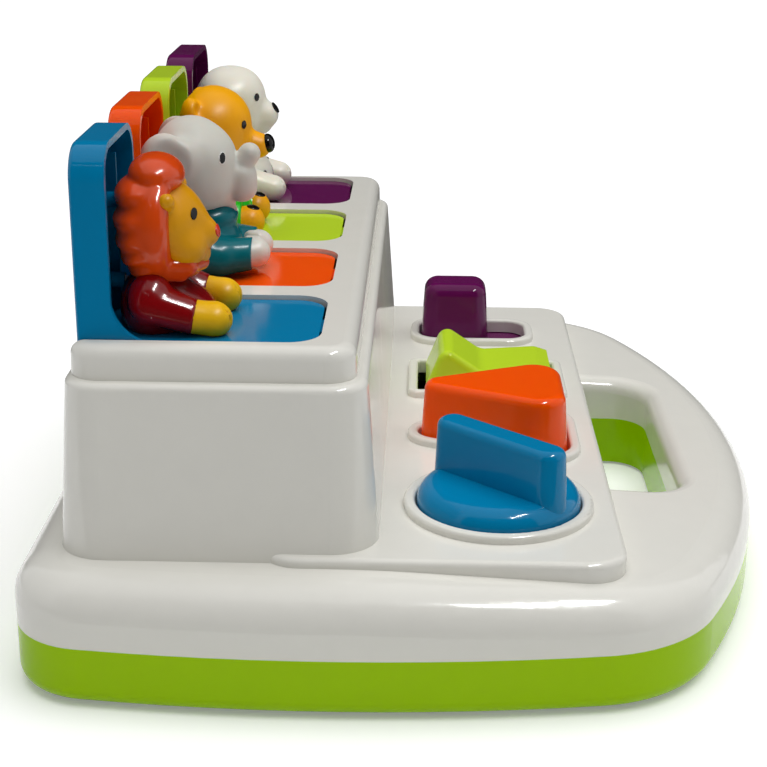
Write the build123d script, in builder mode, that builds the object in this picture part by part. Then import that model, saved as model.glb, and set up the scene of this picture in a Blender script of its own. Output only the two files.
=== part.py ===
from build123d import *
import os
from math import cos, radians, sin, tan

os.makedirs("parts", exist_ok=True)

# ---------------------------------------------------------------- driving sizes, in millimetres
# The toy stands on the floor plane Z = 0. -Y is the child's side with the carry handle, +Y the back.

# base: plan outline and levels
half_width = 145.0  # widest point of the bulged sides
half_back = 137.5  # where a side would meet the straight back
half_front = 135.0  # where a side would meet the round front
back_y = 115.8
front_y = -116.0
front_corner_y = -77.0
back_corner_r = 24.0
front_corner_r = 45.0
foot_height = 1.0  # the tray's underside stands this far off the floor
seam_z = 19.0  # where the tray and the shell meet
base_top_z = 39.2  # top of the shell beside the tower
base_top_r = 12.0  # rounding of the shell's top edge
tray_bottom_r = 5.0
slope_start_y = 20.0  # in front of this line the shell's top falls towards the child
slope_deg = 3.0
slope_blend_r = 400.0
wall = 2.5

# four stations across the toy: one control and one flap each
stations = 4
pitch = 58.0

opening_half_x = 23.8  # half width of a flap's opening in the deck
deck_end = 6.5  # deck left beyond the last opening
deck_half_x = (stations - 1) / 2 * pitch + opening_half_x + deck_end

# tower that holds the four flaps
tower_margin = 7.5  # its foot reaches this far past the deck at each end
tower_half_x = deck_half_x + tower_margin
tower_front_y = 9.5
tower_back_y = 102.8
tower_corner_r = 14.0
tower_top_z = 91.0
tower_draft_deg = 4.0
tower_rim_r = 2.2
tower_flange = 2.5
ledge = 3.0  # how far the flange reaches in from the wall

# deck frame that closes the tower
deck_front_y = 16.2
deck_back_y = 97.9
deck_top_z = 101.0
deck_wall = 2.2
deck_corner_r = 9.0
deck_edge_r = 4.0
deck_draft_deg = 1.5
opening_front_y = 26.8
opening_corner_r = 9.5
back_link_z = 94.5  # the deck's back wall is this high behind a flap

# flaps, drawn open
hinge_y = 88.7
hinge_z = 95.0
flap_gap = 0.4  # round a flap in its opening
flap_wall = 2.0
barrel_r = 5.9  # hinge barrel
flap_back = 7.0  # outer face of the lid, behind the hinge axis
flap_depth = 10.2  # depth of the lid's rim
flap_height = 60.6  # top of the lid above the hinge axis
floor_over_hinge = 4.6  # top of the floor plate above the axis
lid_corner_r = 10.0
gusset_foot_y = 74.3  # the gusset's curve leaves the floor here
gusset_top_z = 115.0  # and meets the lid's rim here
pin_r = 1.2
pin_reach = 6.0  # how deep a pin enters the flap
running = 0.06  # radial clearance of a turning pin
ear_width = 1.8
ear_half_y = 3.4
hinge_wire = 0.45
tongue_reach = 3.9  # stop tongue of a flap, under the deck's front edge
tongue_half_x = 6.0
tongue_t = 2.3

# control panel
panel_half_x = 128.0
panel_front_y = -62.0
panel_back_y = 44.0  # beside the tower
panel_top_z = 42.0
panel_corner_r = 12.0
panel_edge_r = 2.0
control_y = -26.0  # middle of the dial, the button and the rocker
collar_height = 2.6
collar_width = 3.5
collar_r = 1.2

# carry handle's hole
handle_half_x = 53.0
handle_front_y = -88.0
handle_corner_r = 13.0
handle_edge_r = 5.5

# dial
dial_r = 25.0
dial_gap = 0.5
dial_foot_z = 38.6
dial_top_z = 50.0
dial_edge_r = 6.0
fin_half = 5.9
fin_reach = 24.4
fin_top_z = 66.0
fin_deg = 47.8  # direction of the fin's long axis
fin_edge_r = 2.8
fin_draft_deg = 2.5
dial_travel_deg = 45.0
stem_r = 5.0
stem_key = 5.0
crank_radius = 10.0
crank_t = 3.0
peg_r = 2.0

# push button
button_tip = 34.0  # sharp tip of the triangle behind the middle, before rounding
button_front = 25.0  # from the middle to the wide front side
button_half = 27.2  # sharp corners of the front side, before rounding
button_tip_r = 7.0
button_corner_r = 10.5
button_gap = 0.7
button_top_z = 62.4
button_edge_r = 3.2
button_draft_deg = 3.5
button_travel = 5.0
button_post_r = 2.2

# rocker
rocker_half_x = 15.5
rocker_gap = 1.0
rocker_foot_z = 34.0
rocker_back_y = -3.6
rocker_front_y = -50.3
rocker_peak_y = -11.0
rocker_peak_z = 59.2
rocker_valley_y = -24.0
rocker_valley_z = 50.4
rocker_arm_z = 51.8
rocker_pivot_z = 36.0
rocker_travel_deg = 15.0
rocker_pin_r = 1.5
rocker_slot_back = -0.6
rocker_slot_front = -51.4

# slide
slide_half_x = 11.4
slide_back_y = -1.4
slide_length = 27.2
slide_top_z = 65.0
slide_travel = 14.0
slide_gap = 0.5
slide_plate_t = 2.2
slide_corner_r = 7.0
slide_edge_r = 4.8
slide_draft_deg = 3.5
slide_wall = 3.8  # at the knob's foot
rail_width = 5.0

# release bars under the panel
bar_z = 24.0
bar_t = 3.0
bar_width = 14.0
bar_back_y = 92.0
bar_gap = 0.3
catch_y = 87.5
catch_gap = 0.4
window_back_y = 44.0
window_length = 24.0
post_t = 3.0

# springs, screws and feet
wire = 0.6
screw_r = 1.25
screw_head_r = 2.7
screw_head_t = 1.8
screw_boss_r = 4.2
deck_boss_r = 3.0
foot_r = 8.0
foot_recess = 1.0

# ---------------------------------------------------------------- worked out from them
flap_half_x = opening_half_x - flap_gap
station_x = [(k - (stations - 1) / 2) * pitch for k in range(stations)]
strip_x = [(a + b) / 2 for a, b in zip(station_x[:-1], station_x[1:])]
dial_x, button_x, rocker_x, slide_x = station_x
skin_z = panel_top_z - wall  # underside of the panel
tray_floor_z = foot_height + wall
deck_skin_z = deck_top_z - deck_wall
flange_z = tower_top_z - tower_flange
floor_top_z = hinge_z + floor_over_hinge
lid_back_y = hinge_y + flap_back
lid_front_y = lid_back_y - flap_depth
lid_top_z = hinge_z + flap_height
floor_front_y = hinge_y - flap_height - 0.3
bar_top_z = bar_z + bar_t
catch_top_z = hinge_z - (hinge_y - floor_front_y) - tongue_reach - catch_gap
slide_front_y = slide_back_y - slide_length
slot_front_y = slide_front_y - slide_travel - slide_gap
slot_back_y = slide_back_y + slide_gap
slide_mid_y = (slide_front_y + slide_back_y) / 2
slide_plate_top_z = skin_z - bar_gap
slide_plate_half_x = slide_half_x + slide_gap + 3.5
keeper_t = wall
keeper_top_z = slide_plate_top_z - slide_plate_t - bar_gap
thread_r = screw_r + 0.02
standing = (Align.CENTER, Align.CENTER, Align.MIN)
base_screws_at = [(-131, 88), (131, 88), (-131, -42), (131, -42), (-62, -98.5), (62, -98.5)]
feet_at = [(-112, 85), (112, 85), (-106, -52), (106, -52)]
deck_screws_at = [(x, y) for x in strip_x for y in (deck_front_y + deck_wall + 4.0, hinge_y - 10.7)]
figure_screws_z = (112.0, 136.0)
base_screw_seat_z = tray_floor_z + 4.0


def write(part, name):
    """Labels a finished piece and writes it under its node's name."""
    part.label = name
    export_step(part, f"parts/{name}.step")


# ---------------------------------------------------------------- shared shapes
def plan_outline(inset):
    """D-shaped plan of the base: straight back, bulged sides and a broad round front."""
    side_mid_y = (back_y + front_corner_y) / 2
    with BuildSketch() as plan:
        with BuildLine():
            Line((-half_back, back_y), (half_back, back_y))
            ThreePointArc((half_back, back_y), (half_width, side_mid_y), (half_front, front_corner_y))
            ThreePointArc((half_front, front_corner_y), (0, front_y), (-half_front, front_corner_y))
            ThreePointArc((-half_front, front_corner_y), (-half_width, side_mid_y), (-half_back, back_y))
        make_face()
        if inset:
            offset(amount=-inset, kind=Kind.INTERSECTION, mode=Mode.REPLACE)
        fillet(plan.vertices().sort_by(Axis.Y)[-2:], back_corner_r - inset)
        fillet(plan.vertices().sort_by(Axis.Y)[:2], front_corner_r - inset)
    return plan.sketch


def box_plan(half_x, y0, y1, front_r, back_r):
    """A rectangle from y0 to y1 with its front and back corners rounded."""
    with BuildSketch() as plan:
        with Locations((0, (y0 + y1) / 2)):
            Rectangle(2 * half_x, y1 - y0)
        if front_r:
            fillet(plan.vertices().group_by(Axis.Y)[0], front_r)
        if back_r:
            fillet(plan.vertices().group_by(Axis.Y)[-1], back_r)
    return plan.sketch


def shell_block(inset):
    """The base shell's outer form, or the room inside it when inset by the wall."""
    top = base_top_z - inset
    bottom = seam_z - (1.0 if inset else 0.0)
    far_y = front_y - 20
    with BuildPart() as block:
        with BuildSketch(Plane.XY.offset(bottom)):
            add(plan_outline(inset))
        extrude(amount=top - bottom)
        with BuildSketch(Plane.YZ):
            with BuildLine() as profile:
                flat = Line((back_y + 10, top), (slope_start_y, top))
                bend = JernArc(flat @ 1, flat % 1, slope_blend_r, slope_deg)
                drop = ((bend @ 1).X - far_y) * tan(radians(slope_deg))
                slope = Line(bend @ 1, (far_y, (bend @ 1).Y - drop))
                Polyline(slope @ 1, (far_y, bottom), (back_y + 10, bottom), flat @ 0)
            make_face()
        extrude(amount=half_width + 10, both=True, mode=Mode.INTERSECT)
        tops = block.faces().filter_by(lambda f: f.normal_at().Z > 0.99)
        rim = [e for e in tops.edges() if sum(e in f.edges() for f in tops) == 1]
        fillet(rim, base_top_r - inset)
    return block.part


def tower_block(inset, bottom, top):
    """The tower's outer form between two heights, or its room when inset by the wall."""
    lean = (bottom - base_top_z) * tan(radians(tower_draft_deg)) + inset
    with BuildPart() as block:
        with BuildSketch(Plane.XY.offset(bottom)):
            r = tower_corner_r - lean
            add(box_plan(tower_half_x - lean, tower_front_y + lean, tower_back_y - lean, r, r))
        extrude(amount=top - bottom, taper=tower_draft_deg)
    return block.part


def handle_plan(grow):
    """Plan of the hole for the hand, with round corners at the front."""
    back = panel_front_y + grow
    return box_plan(handle_half_x + grow, handle_front_y - grow, back, handle_corner_r + grow, 0)


def coil(mean_r, length, turns, wire_d):
    """A compression spring standing on the origin."""
    rise = length - wire_d
    with BuildPart() as spring:
        with BuildLine(Plane.XY.offset(wire_d / 2)) as path:
            Helix(pitch=rise / turns, height=rise, radius=mean_r)
        with BuildSketch(Plane(origin=path.line @ 0, z_dir=path.line % 0)):
            Circle(wire_d / 2)
        sweep(is_frenet=True)
    return spring.part


def screw(length):
    """A cross-recessed pan-head screw standing on its head."""
    with BuildPart() as piece:
        Cylinder(screw_head_r, screw_head_t, align=standing)
        fillet(piece.edges().filter_by(GeomType.CIRCLE).sort_by(Axis.Z)[0], 0.7)
        with Locations((0, 0, screw_head_t)):
            Cylinder(screw_r, length, align=standing)
        chamfer(piece.edges().filter_by(GeomType.CIRCLE).sort_by(Axis.Z)[-1], 0.5)
        with BuildSketch():
            Rectangle(2.8, 0.6)
            Rectangle(0.6, 2.8)
        extrude(amount=1.0, mode=Mode.SUBTRACT)
    return piece.part


# plans of the openings in the panel, one for each control
with BuildSketch() as dial_hole:
    with Locations((dial_x, control_y)):
        Circle(dial_r + dial_gap)

with BuildSketch() as button_plan:
    with Locations((button_x, control_y)):
        Polygon(
            (0, button_tip), (-button_half, -button_front), (button_half, -button_front), align=None
        )
    fillet(button_plan.vertices().sort_by(Axis.Y)[-1], button_tip_r)
    fillet(button_plan.vertices().sort_by(Axis.Y)[:2], button_corner_r)

with BuildSketch() as button_hole:
    offset(button_plan.sketch, amount=button_gap, mode=Mode.ADD)

with BuildSketch() as rocker_hole:
    with Locations((rocker_x, (rocker_slot_front + rocker_slot_back) / 2)):
        Rectangle(2 * (rocker_half_x + rocker_gap), rocker_slot_back - rocker_slot_front)
    chamfer(rocker_hole.vertices(), 0.6)

with BuildSketch() as slide_hole:
    with Locations((slide_x, (slot_front_y + slot_back_y) / 2)):
        RectangleRounded(
            2 * (slide_half_x + slide_gap), slot_back_y - slot_front_y, slide_corner_r + slide_gap
        )

openings = [dial_hole.sketch, button_hole.sketch, rocker_hole.sketch, slide_hole.sketch]

# ---------------------------------------------------------------- base tray, feet and screws
with BuildPart() as tray_room:
    with BuildSketch(Plane.XY.offset(tray_floor_z)):
        add(plan_outline(wall))
    extrude(amount=seam_z - tray_floor_z + 1)
    fillet(tray_room.faces().sort_by(Axis.Z)[0].edges(), tray_bottom_r - wall)
    with BuildSketch(Plane.XY.offset(tray_floor_z)):
        add(handle_plan(wall))
        with Locations(*base_screws_at):
            Circle(screw_boss_r)
    extrude(amount=seam_z - tray_floor_z + 1, mode=Mode.SUBTRACT)

with BuildPart() as base_tray:
    with BuildSketch(Plane.XY.offset(foot_height)):
        add(plan_outline(0))
    extrude(amount=seam_z - foot_height)
    fillet(base_tray.faces().sort_by(Axis.Z)[0].edges(), tray_bottom_r)
    add(tray_room.part, mode=Mode.SUBTRACT)
    with BuildSketch():
        add(handle_plan(0))
    extrude(amount=seam_z + 1, mode=Mode.SUBTRACT)
    with Locations(*[(x, y, foot_height) for x, y in feet_at]):
        Cylinder(foot_r, foot_recess, align=standing, mode=Mode.SUBTRACT)
    # counterbored screw holes, driven from below
    with Locations(*[(x, y, 0) for x, y in base_screws_at]):
        Cylinder(screw_head_r + 0.3, base_screw_seat_z, align=standing, mode=Mode.SUBTRACT)
        Cylinder(thread_r, seam_z + 1, align=standing, mode=Mode.SUBTRACT)
    # forked supports that the release bars slide in
    for x in station_x:
        with BuildSketch(Plane.XY.offset(tray_floor_z - 0.5)):
            with Locations((x, 9), (x, 66)):
                Rectangle(bar_width + 2 * bar_gap + 4, 6)
        extrude(amount=bar_top_z - tray_floor_z + 0.5)
        with BuildSketch(Plane.XY.offset(bar_z)):
            with Locations((x, 9), (x, 66)):
                Rectangle(bar_width + 2 * bar_gap, 8)
        extrude(amount=bar_t + 1, mode=Mode.SUBTRACT)
    # posts that the bars' springs push against
    post_y = window_back_y - window_length + bar_gap + post_t / 2
    with Locations(*[(x, post_y, tray_floor_z - 0.5) for x in station_x]):
        Box(5.2, post_t, bar_top_z - tray_floor_z + 0.5, align=standing)
    # guide post of the button
    with Locations((button_x, control_y, tray_floor_z - 0.5)):
        Cylinder(5.0, 13.0, align=standing)
        Cylinder(button_post_r, 46.0, align=standing)
write(base_tray.part, "base_tray")

with BuildPart() as rubber_feet:
    with Locations(*[(x, y, 0) for x, y in feet_at]):
        Cylinder(foot_r - 0.02, foot_height + foot_recess, align=standing)
    soles = rubber_feet.edges().group_by(Axis.Z)[0]
    fillet(soles, 0.8)
write(rubber_feet.part, "rubber_feet")

with BuildPart() as base_screws:
    with Locations(*[(x, y, base_screw_seat_z - screw_head_t) for x, y in base_screws_at]):
        add(screw(16.0))
write(base_screws.part, "base_screws")

# ---------------------------------------------------------------- top shell
with BuildPart() as shell_room:
    add(shell_block(wall))
    add(tower_block(wall, seam_z + 10, flange_z))
    with BuildSketch(Plane.XY.offset(seam_z)):
        r = panel_corner_r - wall
        add(box_plan(panel_half_x - wall, panel_front_y + wall, tower_front_y, r, r))
    extrude(amount=skin_z - seam_z)
    with BuildSketch(Plane.XY.offset(seam_z - 1)):
        add(handle_plan(wall))
        with Locations(*base_screws_at):
            Circle(screw_boss_r)
    extrude(amount=base_top_z, mode=Mode.SUBTRACT)

with BuildPart() as tower_form:
    add(tower_block(0, seam_z + 12, tower_top_z))
    fillet(tower_form.faces().sort_by(Axis.Z)[-1].edges(), tower_rim_r)

with BuildPart() as panel_form:
    with BuildSketch(Plane.XY.offset(seam_z + 8)):
        add(box_plan(panel_half_x, panel_front_y, panel_back_y, panel_corner_r, panel_corner_r))
    extrude(amount=panel_top_z - seam_z - 8)
    fillet(panel_form.faces().sort_by(Axis.Z)[-1].edges(), panel_edge_r)

with BuildPart() as collars:
    for hole in openings:
        with BuildSketch(Plane.XY.offset(panel_top_z - 1)):
            offset(hole, amount=collar_width, mode=Mode.ADD)
            add(hole, mode=Mode.SUBTRACT)
        extrude(amount=collar_height + 1)
    fillet(collars.edges().group_by(Axis.Z)[-1], collar_r)

with BuildPart() as top_shell:
    add(shell_block(0))
    add(tower_form.part)
    add(panel_form.part)
    add(collars.part)
    add(shell_room.part, mode=Mode.SUBTRACT)
    # hole for the hand, with a full round edge round the front and the ends
    with BuildSketch(Plane.XY.offset(seam_z - 1)):
        add(handle_plan(0))
    extrude(amount=panel_top_z, mode=Mode.SUBTRACT)
    grip = top_shell.edges().filter_by_position(Axis.Z, 32, 37).filter_by(
        lambda e: abs(e.center().X) < handle_half_x + 0.1
        and handle_front_y - 0.1 < e.center().Y < panel_front_y - 0.5
    )
    grip = [e for e in grip if e.bounding_box().size.Z < 4 and e.center().Z > 33]
    fillet(grip, handle_edge_r)
    # mouth of the tower inside its flange
    lean = (tower_top_z - base_top_z) * tan(radians(tower_draft_deg)) + wall + ledge
    with BuildSketch(Plane.XY.offset(flange_z - 1)):
        add(box_plan(tower_half_x - lean, tower_front_y + lean, tower_back_y - lean, 6, 6))
    extrude(amount=tower_flange + 2, mode=Mode.SUBTRACT)
    # tabs for the deck's screws
    for x, y in deck_screws_at:
        reach = tower_front_y + lean - 1 if y < 50 else tower_back_y - lean + 1
        with BuildSketch(Plane.XY.offset(flange_z)):
            with Locations((x, (y + reach) / 2)):
                Rectangle(2 * deck_boss_r + 2, abs(reach - y))
            with Locations((x, y)):
                Circle(deck_boss_r + 1)
        extrude(amount=tower_flange)
    with Locations(*[(x, y, flange_z - 1) for x, y in deck_screws_at]):
        Cylinder(thread_r, tower_flange + 2, align=standing, mode=Mode.SUBTRACT)
    # openings of the controls
    for hole in openings:
        with BuildSketch(Plane.XY.offset(skin_z - 2)):
            add(hole)
        extrude(amount=collar_height + wall + 3, mode=Mode.SUBTRACT)
    # pan and bearing that carry the dial
    with BuildSketch(Plane.XY.offset(dial_foot_z - 3.0)):
        with Locations((dial_x, control_y)):
            Circle(dial_r + dial_gap + wall)
    extrude(amount=skin_z - dial_foot_z + 3.1)
    with BuildSketch(Plane.XY.offset(dial_foot_z - 0.5)):
        add(dial_hole.sketch)
    extrude(amount=6, mode=Mode.SUBTRACT)
    with Locations((dial_x, control_y, dial_foot_z - 5.6)):
        Cylinder(stem_r + 3, 3.0, align=standing)
    with Locations((dial_x, control_y, dial_foot_z - 8)):
        Cylinder(stem_r + running, 9, align=standing, mode=Mode.SUBTRACT)
    # ears for the rocker's pin
    ear_x = rocker_half_x + rocker_gap + 0.5
    with BuildSketch(Plane.YZ.offset(rocker_x - ear_x - 3)):
        with Locations((control_y, skin_z)):
            Rectangle(9, skin_z - rocker_pivot_z + 4.5, align=(Align.CENTER, Align.MAX))
    extrude(amount=3)
    with BuildSketch(Plane.YZ.offset(rocker_x + ear_x)):
        with Locations((control_y, skin_z)):
            Rectangle(9, skin_z - rocker_pivot_z + 4.5, align=(Align.CENTER, Align.MAX))
    extrude(amount=3)
    with BuildSketch(Plane.YZ.offset(rocker_x - ear_x - 4)):
        with Locations((control_y, rocker_pivot_z)):
            Circle(rocker_pin_r + 0.01)
    extrude(amount=2 * ear_x + 8, mode=Mode.SUBTRACT)
    # pocket for the slide's plate, under the foot of the tower, and the rails beside it
    plate_back_y = slot_back_y + slide_travel + 2.0
    with BuildSketch(Plane.XY.offset(slide_plate_top_z - 4)):
        with Locations((slide_x, (plate_back_y + 2 + panel_front_y + wall) / 2)):
            Rectangle(2 * slide_plate_half_x + 2 * bar_gap, plate_back_y + 2 - panel_front_y - wall)
    extrude(amount=skin_z - slide_plate_top_z + 4, mode=Mode.SUBTRACT)
    rail_x = slide_plate_half_x + bar_gap + rail_width / 2
    for side in (-1, 1):
        with BuildSketch(Plane.XY.offset(keeper_top_z)):
            with Locations((slide_x + side * rail_x, -26)):
                Rectangle(rail_width, 64)
        extrude(amount=skin_z - keeper_top_z)
    keeper_screws_at = [(slide_x + s * rail_x, y) for s in (-1, 1) for y in (-52, 0)]
    with Locations(*[(x, y, keeper_top_z - 1) for x, y in keeper_screws_at]):
        Cylinder(thread_r, 5.0, align=standing, mode=Mode.SUBTRACT)
    # pilot holes of the base screws
    with Locations(*[(x, y, seam_z - 1) for x, y in base_screws_at]):
        Cylinder(thread_r, 10, align=standing, mode=Mode.SUBTRACT)
write(top_shell.part, "top_shell")

# ---------------------------------------------------------------- deck frame
with BuildPart() as deck_frame:
    with BuildSketch(Plane.XY.offset(tower_top_z)):
        add(box_plan(deck_half_x, deck_front_y, deck_back_y, deck_corner_r, deck_corner_r))
    extrude(amount=deck_top_z - tower_top_z, taper=deck_draft_deg)
    fillet(deck_frame.faces().sort_by(Axis.Z)[-1].edges(), deck_edge_r)
    with BuildSketch(Plane.XY.offset(tower_top_z)):
        r = deck_corner_r - deck_wall
        add(box_plan(deck_half_x - deck_wall, deck_front_y + deck_wall, deck_back_y - 1.4, r, r))
    extrude(amount=deck_skin_z - tower_top_z, taper=deck_draft_deg, mode=Mode.SUBTRACT)
    # ears under the strips, with a snap slot for the hinge pins
    for x in station_x:
        for side in (-1, 1):
            ear_x = x + side * (opening_half_x + ear_width / 2)
            with BuildSketch(Plane.YZ.offset(ear_x - ear_width / 2)):
                with Locations((hinge_y, deck_skin_z)):
                    Rectangle(2 * ear_half_y, deck_skin_z - hinge_z + 3, align=(Align.CENTER, Align.MAX))
                with Locations((hinge_y, hinge_z)):
                    Circle(pin_r + 0.01, mode=Mode.SUBTRACT)
                    Rectangle(2 * pin_r - 0.4, 4, align=(Align.CENTER, Align.MAX), mode=Mode.SUBTRACT)
            extrude(amount=ear_width)
    # screw bosses
    with Locations(*[(x, y, tower_top_z) for x, y in deck_screws_at]):
        Cylinder(deck_boss_r, deck_skin_z - tower_top_z, align=standing)
        Cylinder(thread_r, 6.5, align=standing, mode=Mode.SUBTRACT)
    # the four openings, with round front corners, open through the back edge above the link
    opening_back_y = lid_back_y + flap_gap
    for x in station_x:
        with BuildSketch(Plane.XY.offset(tower_top_z - 1)):
            with Locations((x, 0)):
                add(box_plan(opening_half_x, opening_front_y, opening_back_y, opening_corner_r, 0))
        extrude(amount=12, mode=Mode.SUBTRACT)
        with BuildSketch(Plane.XY.offset(back_link_z)):
            with Locations((x, deck_back_y)):
                Rectangle(2 * opening_half_x, 12)
        extrude(amount=12, mode=Mode.SUBTRACT)
write(deck_frame.part, "deck_frame")

with BuildPart() as deck_screws:
    with Locations(*[(x, y, flange_z - screw_head_t) for x, y in deck_screws_at]):
        add(screw(8.0))
write(deck_screws.part, "deck_screws")

# ---------------------------------------------------------------- flaps with their pins and springs
flap_names = ["blue", "orange", "green", "purple"]
for x, colour in zip(station_x, flap_names):
    with BuildPart() as flap:
        # lid with a deep rim all round
        with BuildSketch(Plane.XZ.offset(-lid_back_y)) as lid_face:
            with Locations((x, (hinge_z + lid_top_z) / 2)):
                Rectangle(2 * flap_half_x, lid_top_z - hinge_z)
            fillet(lid_face.vertices().group_by(Axis.Y)[-1], lid_corner_r)
        extrude(amount=flap_depth)
        back_rim = flap.edges().group_by(Axis.Y)[-1].filter_by(lambda e: e.center().Z > hinge_z + 1)
        fillet(back_rim, 1.5)
        with BuildSketch(Plane.XZ.offset(flap_wall - lid_back_y)) as recess:
            with Locations((x, (floor_top_z + lid_top_z - flap_wall) / 2)):
                Rectangle(2 * (flap_half_x - flap_wall), lid_top_z - flap_wall - floor_top_z)
            fillet(recess.vertices().group_by(Axis.Y)[-1], lid_corner_r - flap_wall)
        extrude(amount=flap_depth, mode=Mode.SUBTRACT)
        # floor plate with round front corners, and the stop tongue under its front edge
        with BuildSketch(Plane.XY.offset(floor_top_z - flap_wall)):
            with Locations((x, 0)):
                r = opening_corner_r - flap_gap
                add(box_plan(flap_half_x, floor_front_y, hinge_y, r, 0))
        extrude(amount=flap_wall)
        tongue_top_z = deck_skin_z - 0.1
        with BuildSketch(Plane.XY.offset(tongue_top_z - tongue_t)):
            with Locations((x, floor_front_y - tongue_reach)):
                Rectangle(2 * tongue_half_x, tongue_reach + 6, align=(Align.CENTER, Align.MIN))
        extrude(amount=tongue_t)
        # gussets that run from the rim down to the floor in a hollow curve
        for side in (-1, 1):
            with BuildSketch(Plane.YZ.offset(x + side * (flap_half_x - flap_wall / 2))):
                with BuildLine():
                    foot = (gusset_foot_y, floor_top_z)
                    head = (lid_front_y, gusset_top_z)
                    ThreePointArc(foot, (lid_front_y - 3.0, floor_top_z + 4.6), head)
                    under = floor_top_z - 1.5
                    Polyline(head, (lid_front_y + 2, gusset_top_z), (lid_front_y + 2, under))
                    Polyline((lid_front_y + 2, under), (gusset_foot_y, under), foot)
                make_face()
            extrude(amount=flap_wall / 2, both=True)
        # hinge barrel, hollow in the middle and open below
        with BuildSketch(Plane.YZ.offset(x - flap_half_x)):
            with Locations((hinge_y, hinge_z)):
                Circle(barrel_r)
        extrude(amount=2 * flap_half_x)
        with BuildSketch(Plane.YZ.offset(x - flap_half_x + pin_reach + 2)):
            with Locations((hinge_y, hinge_z - 1)):
                Rectangle(2 * (barrel_r - flap_wall), 2 * barrel_r, align=(Align.CENTER, Align.MAX))
                Circle(barrel_r - flap_wall - 1)
        extrude(amount=2 * (flap_half_x - pin_reach - 2), mode=Mode.SUBTRACT)
        with BuildSketch(Plane.YZ.offset(x - flap_half_x - 1)):
            with Locations((hinge_y, hinge_z)):
                Circle(pin_r + running)
        extrude(amount=pin_reach + 1, mode=Mode.SUBTRACT)
        with BuildSketch(Plane.YZ.offset(x + flap_half_x - pin_reach)):
            with Locations((hinge_y, hinge_z)):
                Circle(pin_r + running)
        extrude(amount=pin_reach + 1, mode=Mode.SUBTRACT)
        # bosses that stand inside the figure, with the screws sunk into the lid's back
        with BuildSketch(Plane.XZ.offset(flap_wall - lid_back_y)):
            with Locations(*[(x, z) for z in figure_screws_z]):
                Circle(4.5)
        extrude(amount=3.0)
        with BuildSketch(Plane.XZ.offset(-lid_back_y)):
            with Locations(*[(x, z) for z in figure_screws_z]):
                Circle(screw_head_r + 0.2)
        extrude(amount=2.6, mode=Mode.SUBTRACT)
        with BuildSketch(Plane.XZ.offset(-lid_back_y)):
            with Locations(*[(x, z) for z in figure_screws_z]):
                Circle(thread_r)
        extrude(amount=8, mode=Mode.SUBTRACT)
    write(flap.part, f"flap_{colour}")

    with BuildPart() as figure_screws:
        for z in figure_screws_z:
            with Locations(Plane(origin=(x, lid_back_y - 2.6 + screw_head_t, z), z_dir=(0, -1, 0))):
                add(screw(9.0))
    write(figure_screws.part, f"figure_screws_{colour}")

    with BuildPart() as hinge_pins:
        pin_in = flap_half_x - pin_reach + 0.3
        for x0, x1 in ((x - opening_half_x - ear_width - 0.3, x - pin_in), (x + pin_in, x + 27.6)):
            with BuildSketch(Plane.YZ.offset(x0)):
                with Locations((hinge_y, hinge_z)):
                    Circle(pin_r)
            extrude(amount=x1 - x0)
    write(hinge_pins.part, f"hinge_pins_{colour}")

    with BuildPart() as flap_spring:
        spring_x = x + opening_half_x + ear_width + 0.15
        mean_r = pin_r + 0.15 + hinge_wire / 2
        across = Plane(origin=(spring_x, hinge_y, hinge_z), x_dir=(0, 1, 0), z_dir=(1, 0, 0))
        with Locations(across):
            add(coil(mean_r, 1.45, 2, hinge_wire))
        # one leg bears on the deck's underside, the other reaches down beside the barrel
        leg_r = hinge_wire / 2 - 0.02
        with Locations((spring_x + 1.45 - hinge_wire / 2, hinge_y + mean_r, hinge_z - 0.5)):
            Cylinder(leg_r, deck_skin_z - hinge_z + 0.5, align=standing)
        with Locations((spring_x + hinge_wire / 2, hinge_y + mean_r, hinge_z - 4)):
            Cylinder(leg_r, 4.5, align=standing)
    write(flap_spring.part, f"flap_spring_{colour}")


# ---------------------------------------------------------------- figures
def limb(start, end, r):
    """A round-ended bar from one point to another."""
    axis = Vector(*end) - Vector(*start)
    with BuildPart() as bar:
        with BuildSketch(Plane(origin=start, z_dir=axis)):
            Circle(r)
        extrude(amount=axis.length)
        with Locations(start, end):
            Sphere(r)
    return bar.part


def figure_body(x, head_r, head_z, reach):
    """Torso, head and forearms of a figure, with sockets for the lid's bosses."""
    back = lid_back_y - flap_wall
    with BuildPart() as body:
        with BuildSketch(Plane.XZ.offset(-back)):
            with Locations((x, floor_top_z + 13.6)):
                RectangleRounded(38, 27, 9)
        extrude(amount=20)
        fillet(body.faces().sort_by(Axis.Y)[0].edges(), 8)
        with BuildSketch(Plane.XZ.offset(-back)):
            with Locations((x, head_z)):
                Circle(head_r)
        extrude(amount=back - 72)
        with Locations((x, 72, head_z)):
            Sphere(head_r)
        for side in (-1, 1):
            add(limb((x + side * 14, 75, 110.5), (x + side * 15, reach + 6.2, 106), 6.2))
    return body.part


def figure_cuts(x):
    """What is cut from a figure: boss sockets, screw holes and room for the hinge barrel."""
    back = lid_back_y - flap_wall
    with BuildPart() as cut:
        for z in figure_screws_z:
            with Locations(Plane(origin=(x, back + 1, z), z_dir=(0, -1, 0))):
                Cylinder(4.6, 4.02, align=standing)
                Cylinder(thread_r, 12, align=standing)
        with BuildSketch(Plane.YZ.offset(x)):
            with Locations((hinge_y, hinge_z)):
                Circle(barrel_r + 0.1)
        extrude(amount=flap_half_x, both=True)
    return cut.part


lion_x, elephant_x, bear_x, puppy_x = station_x
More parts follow.
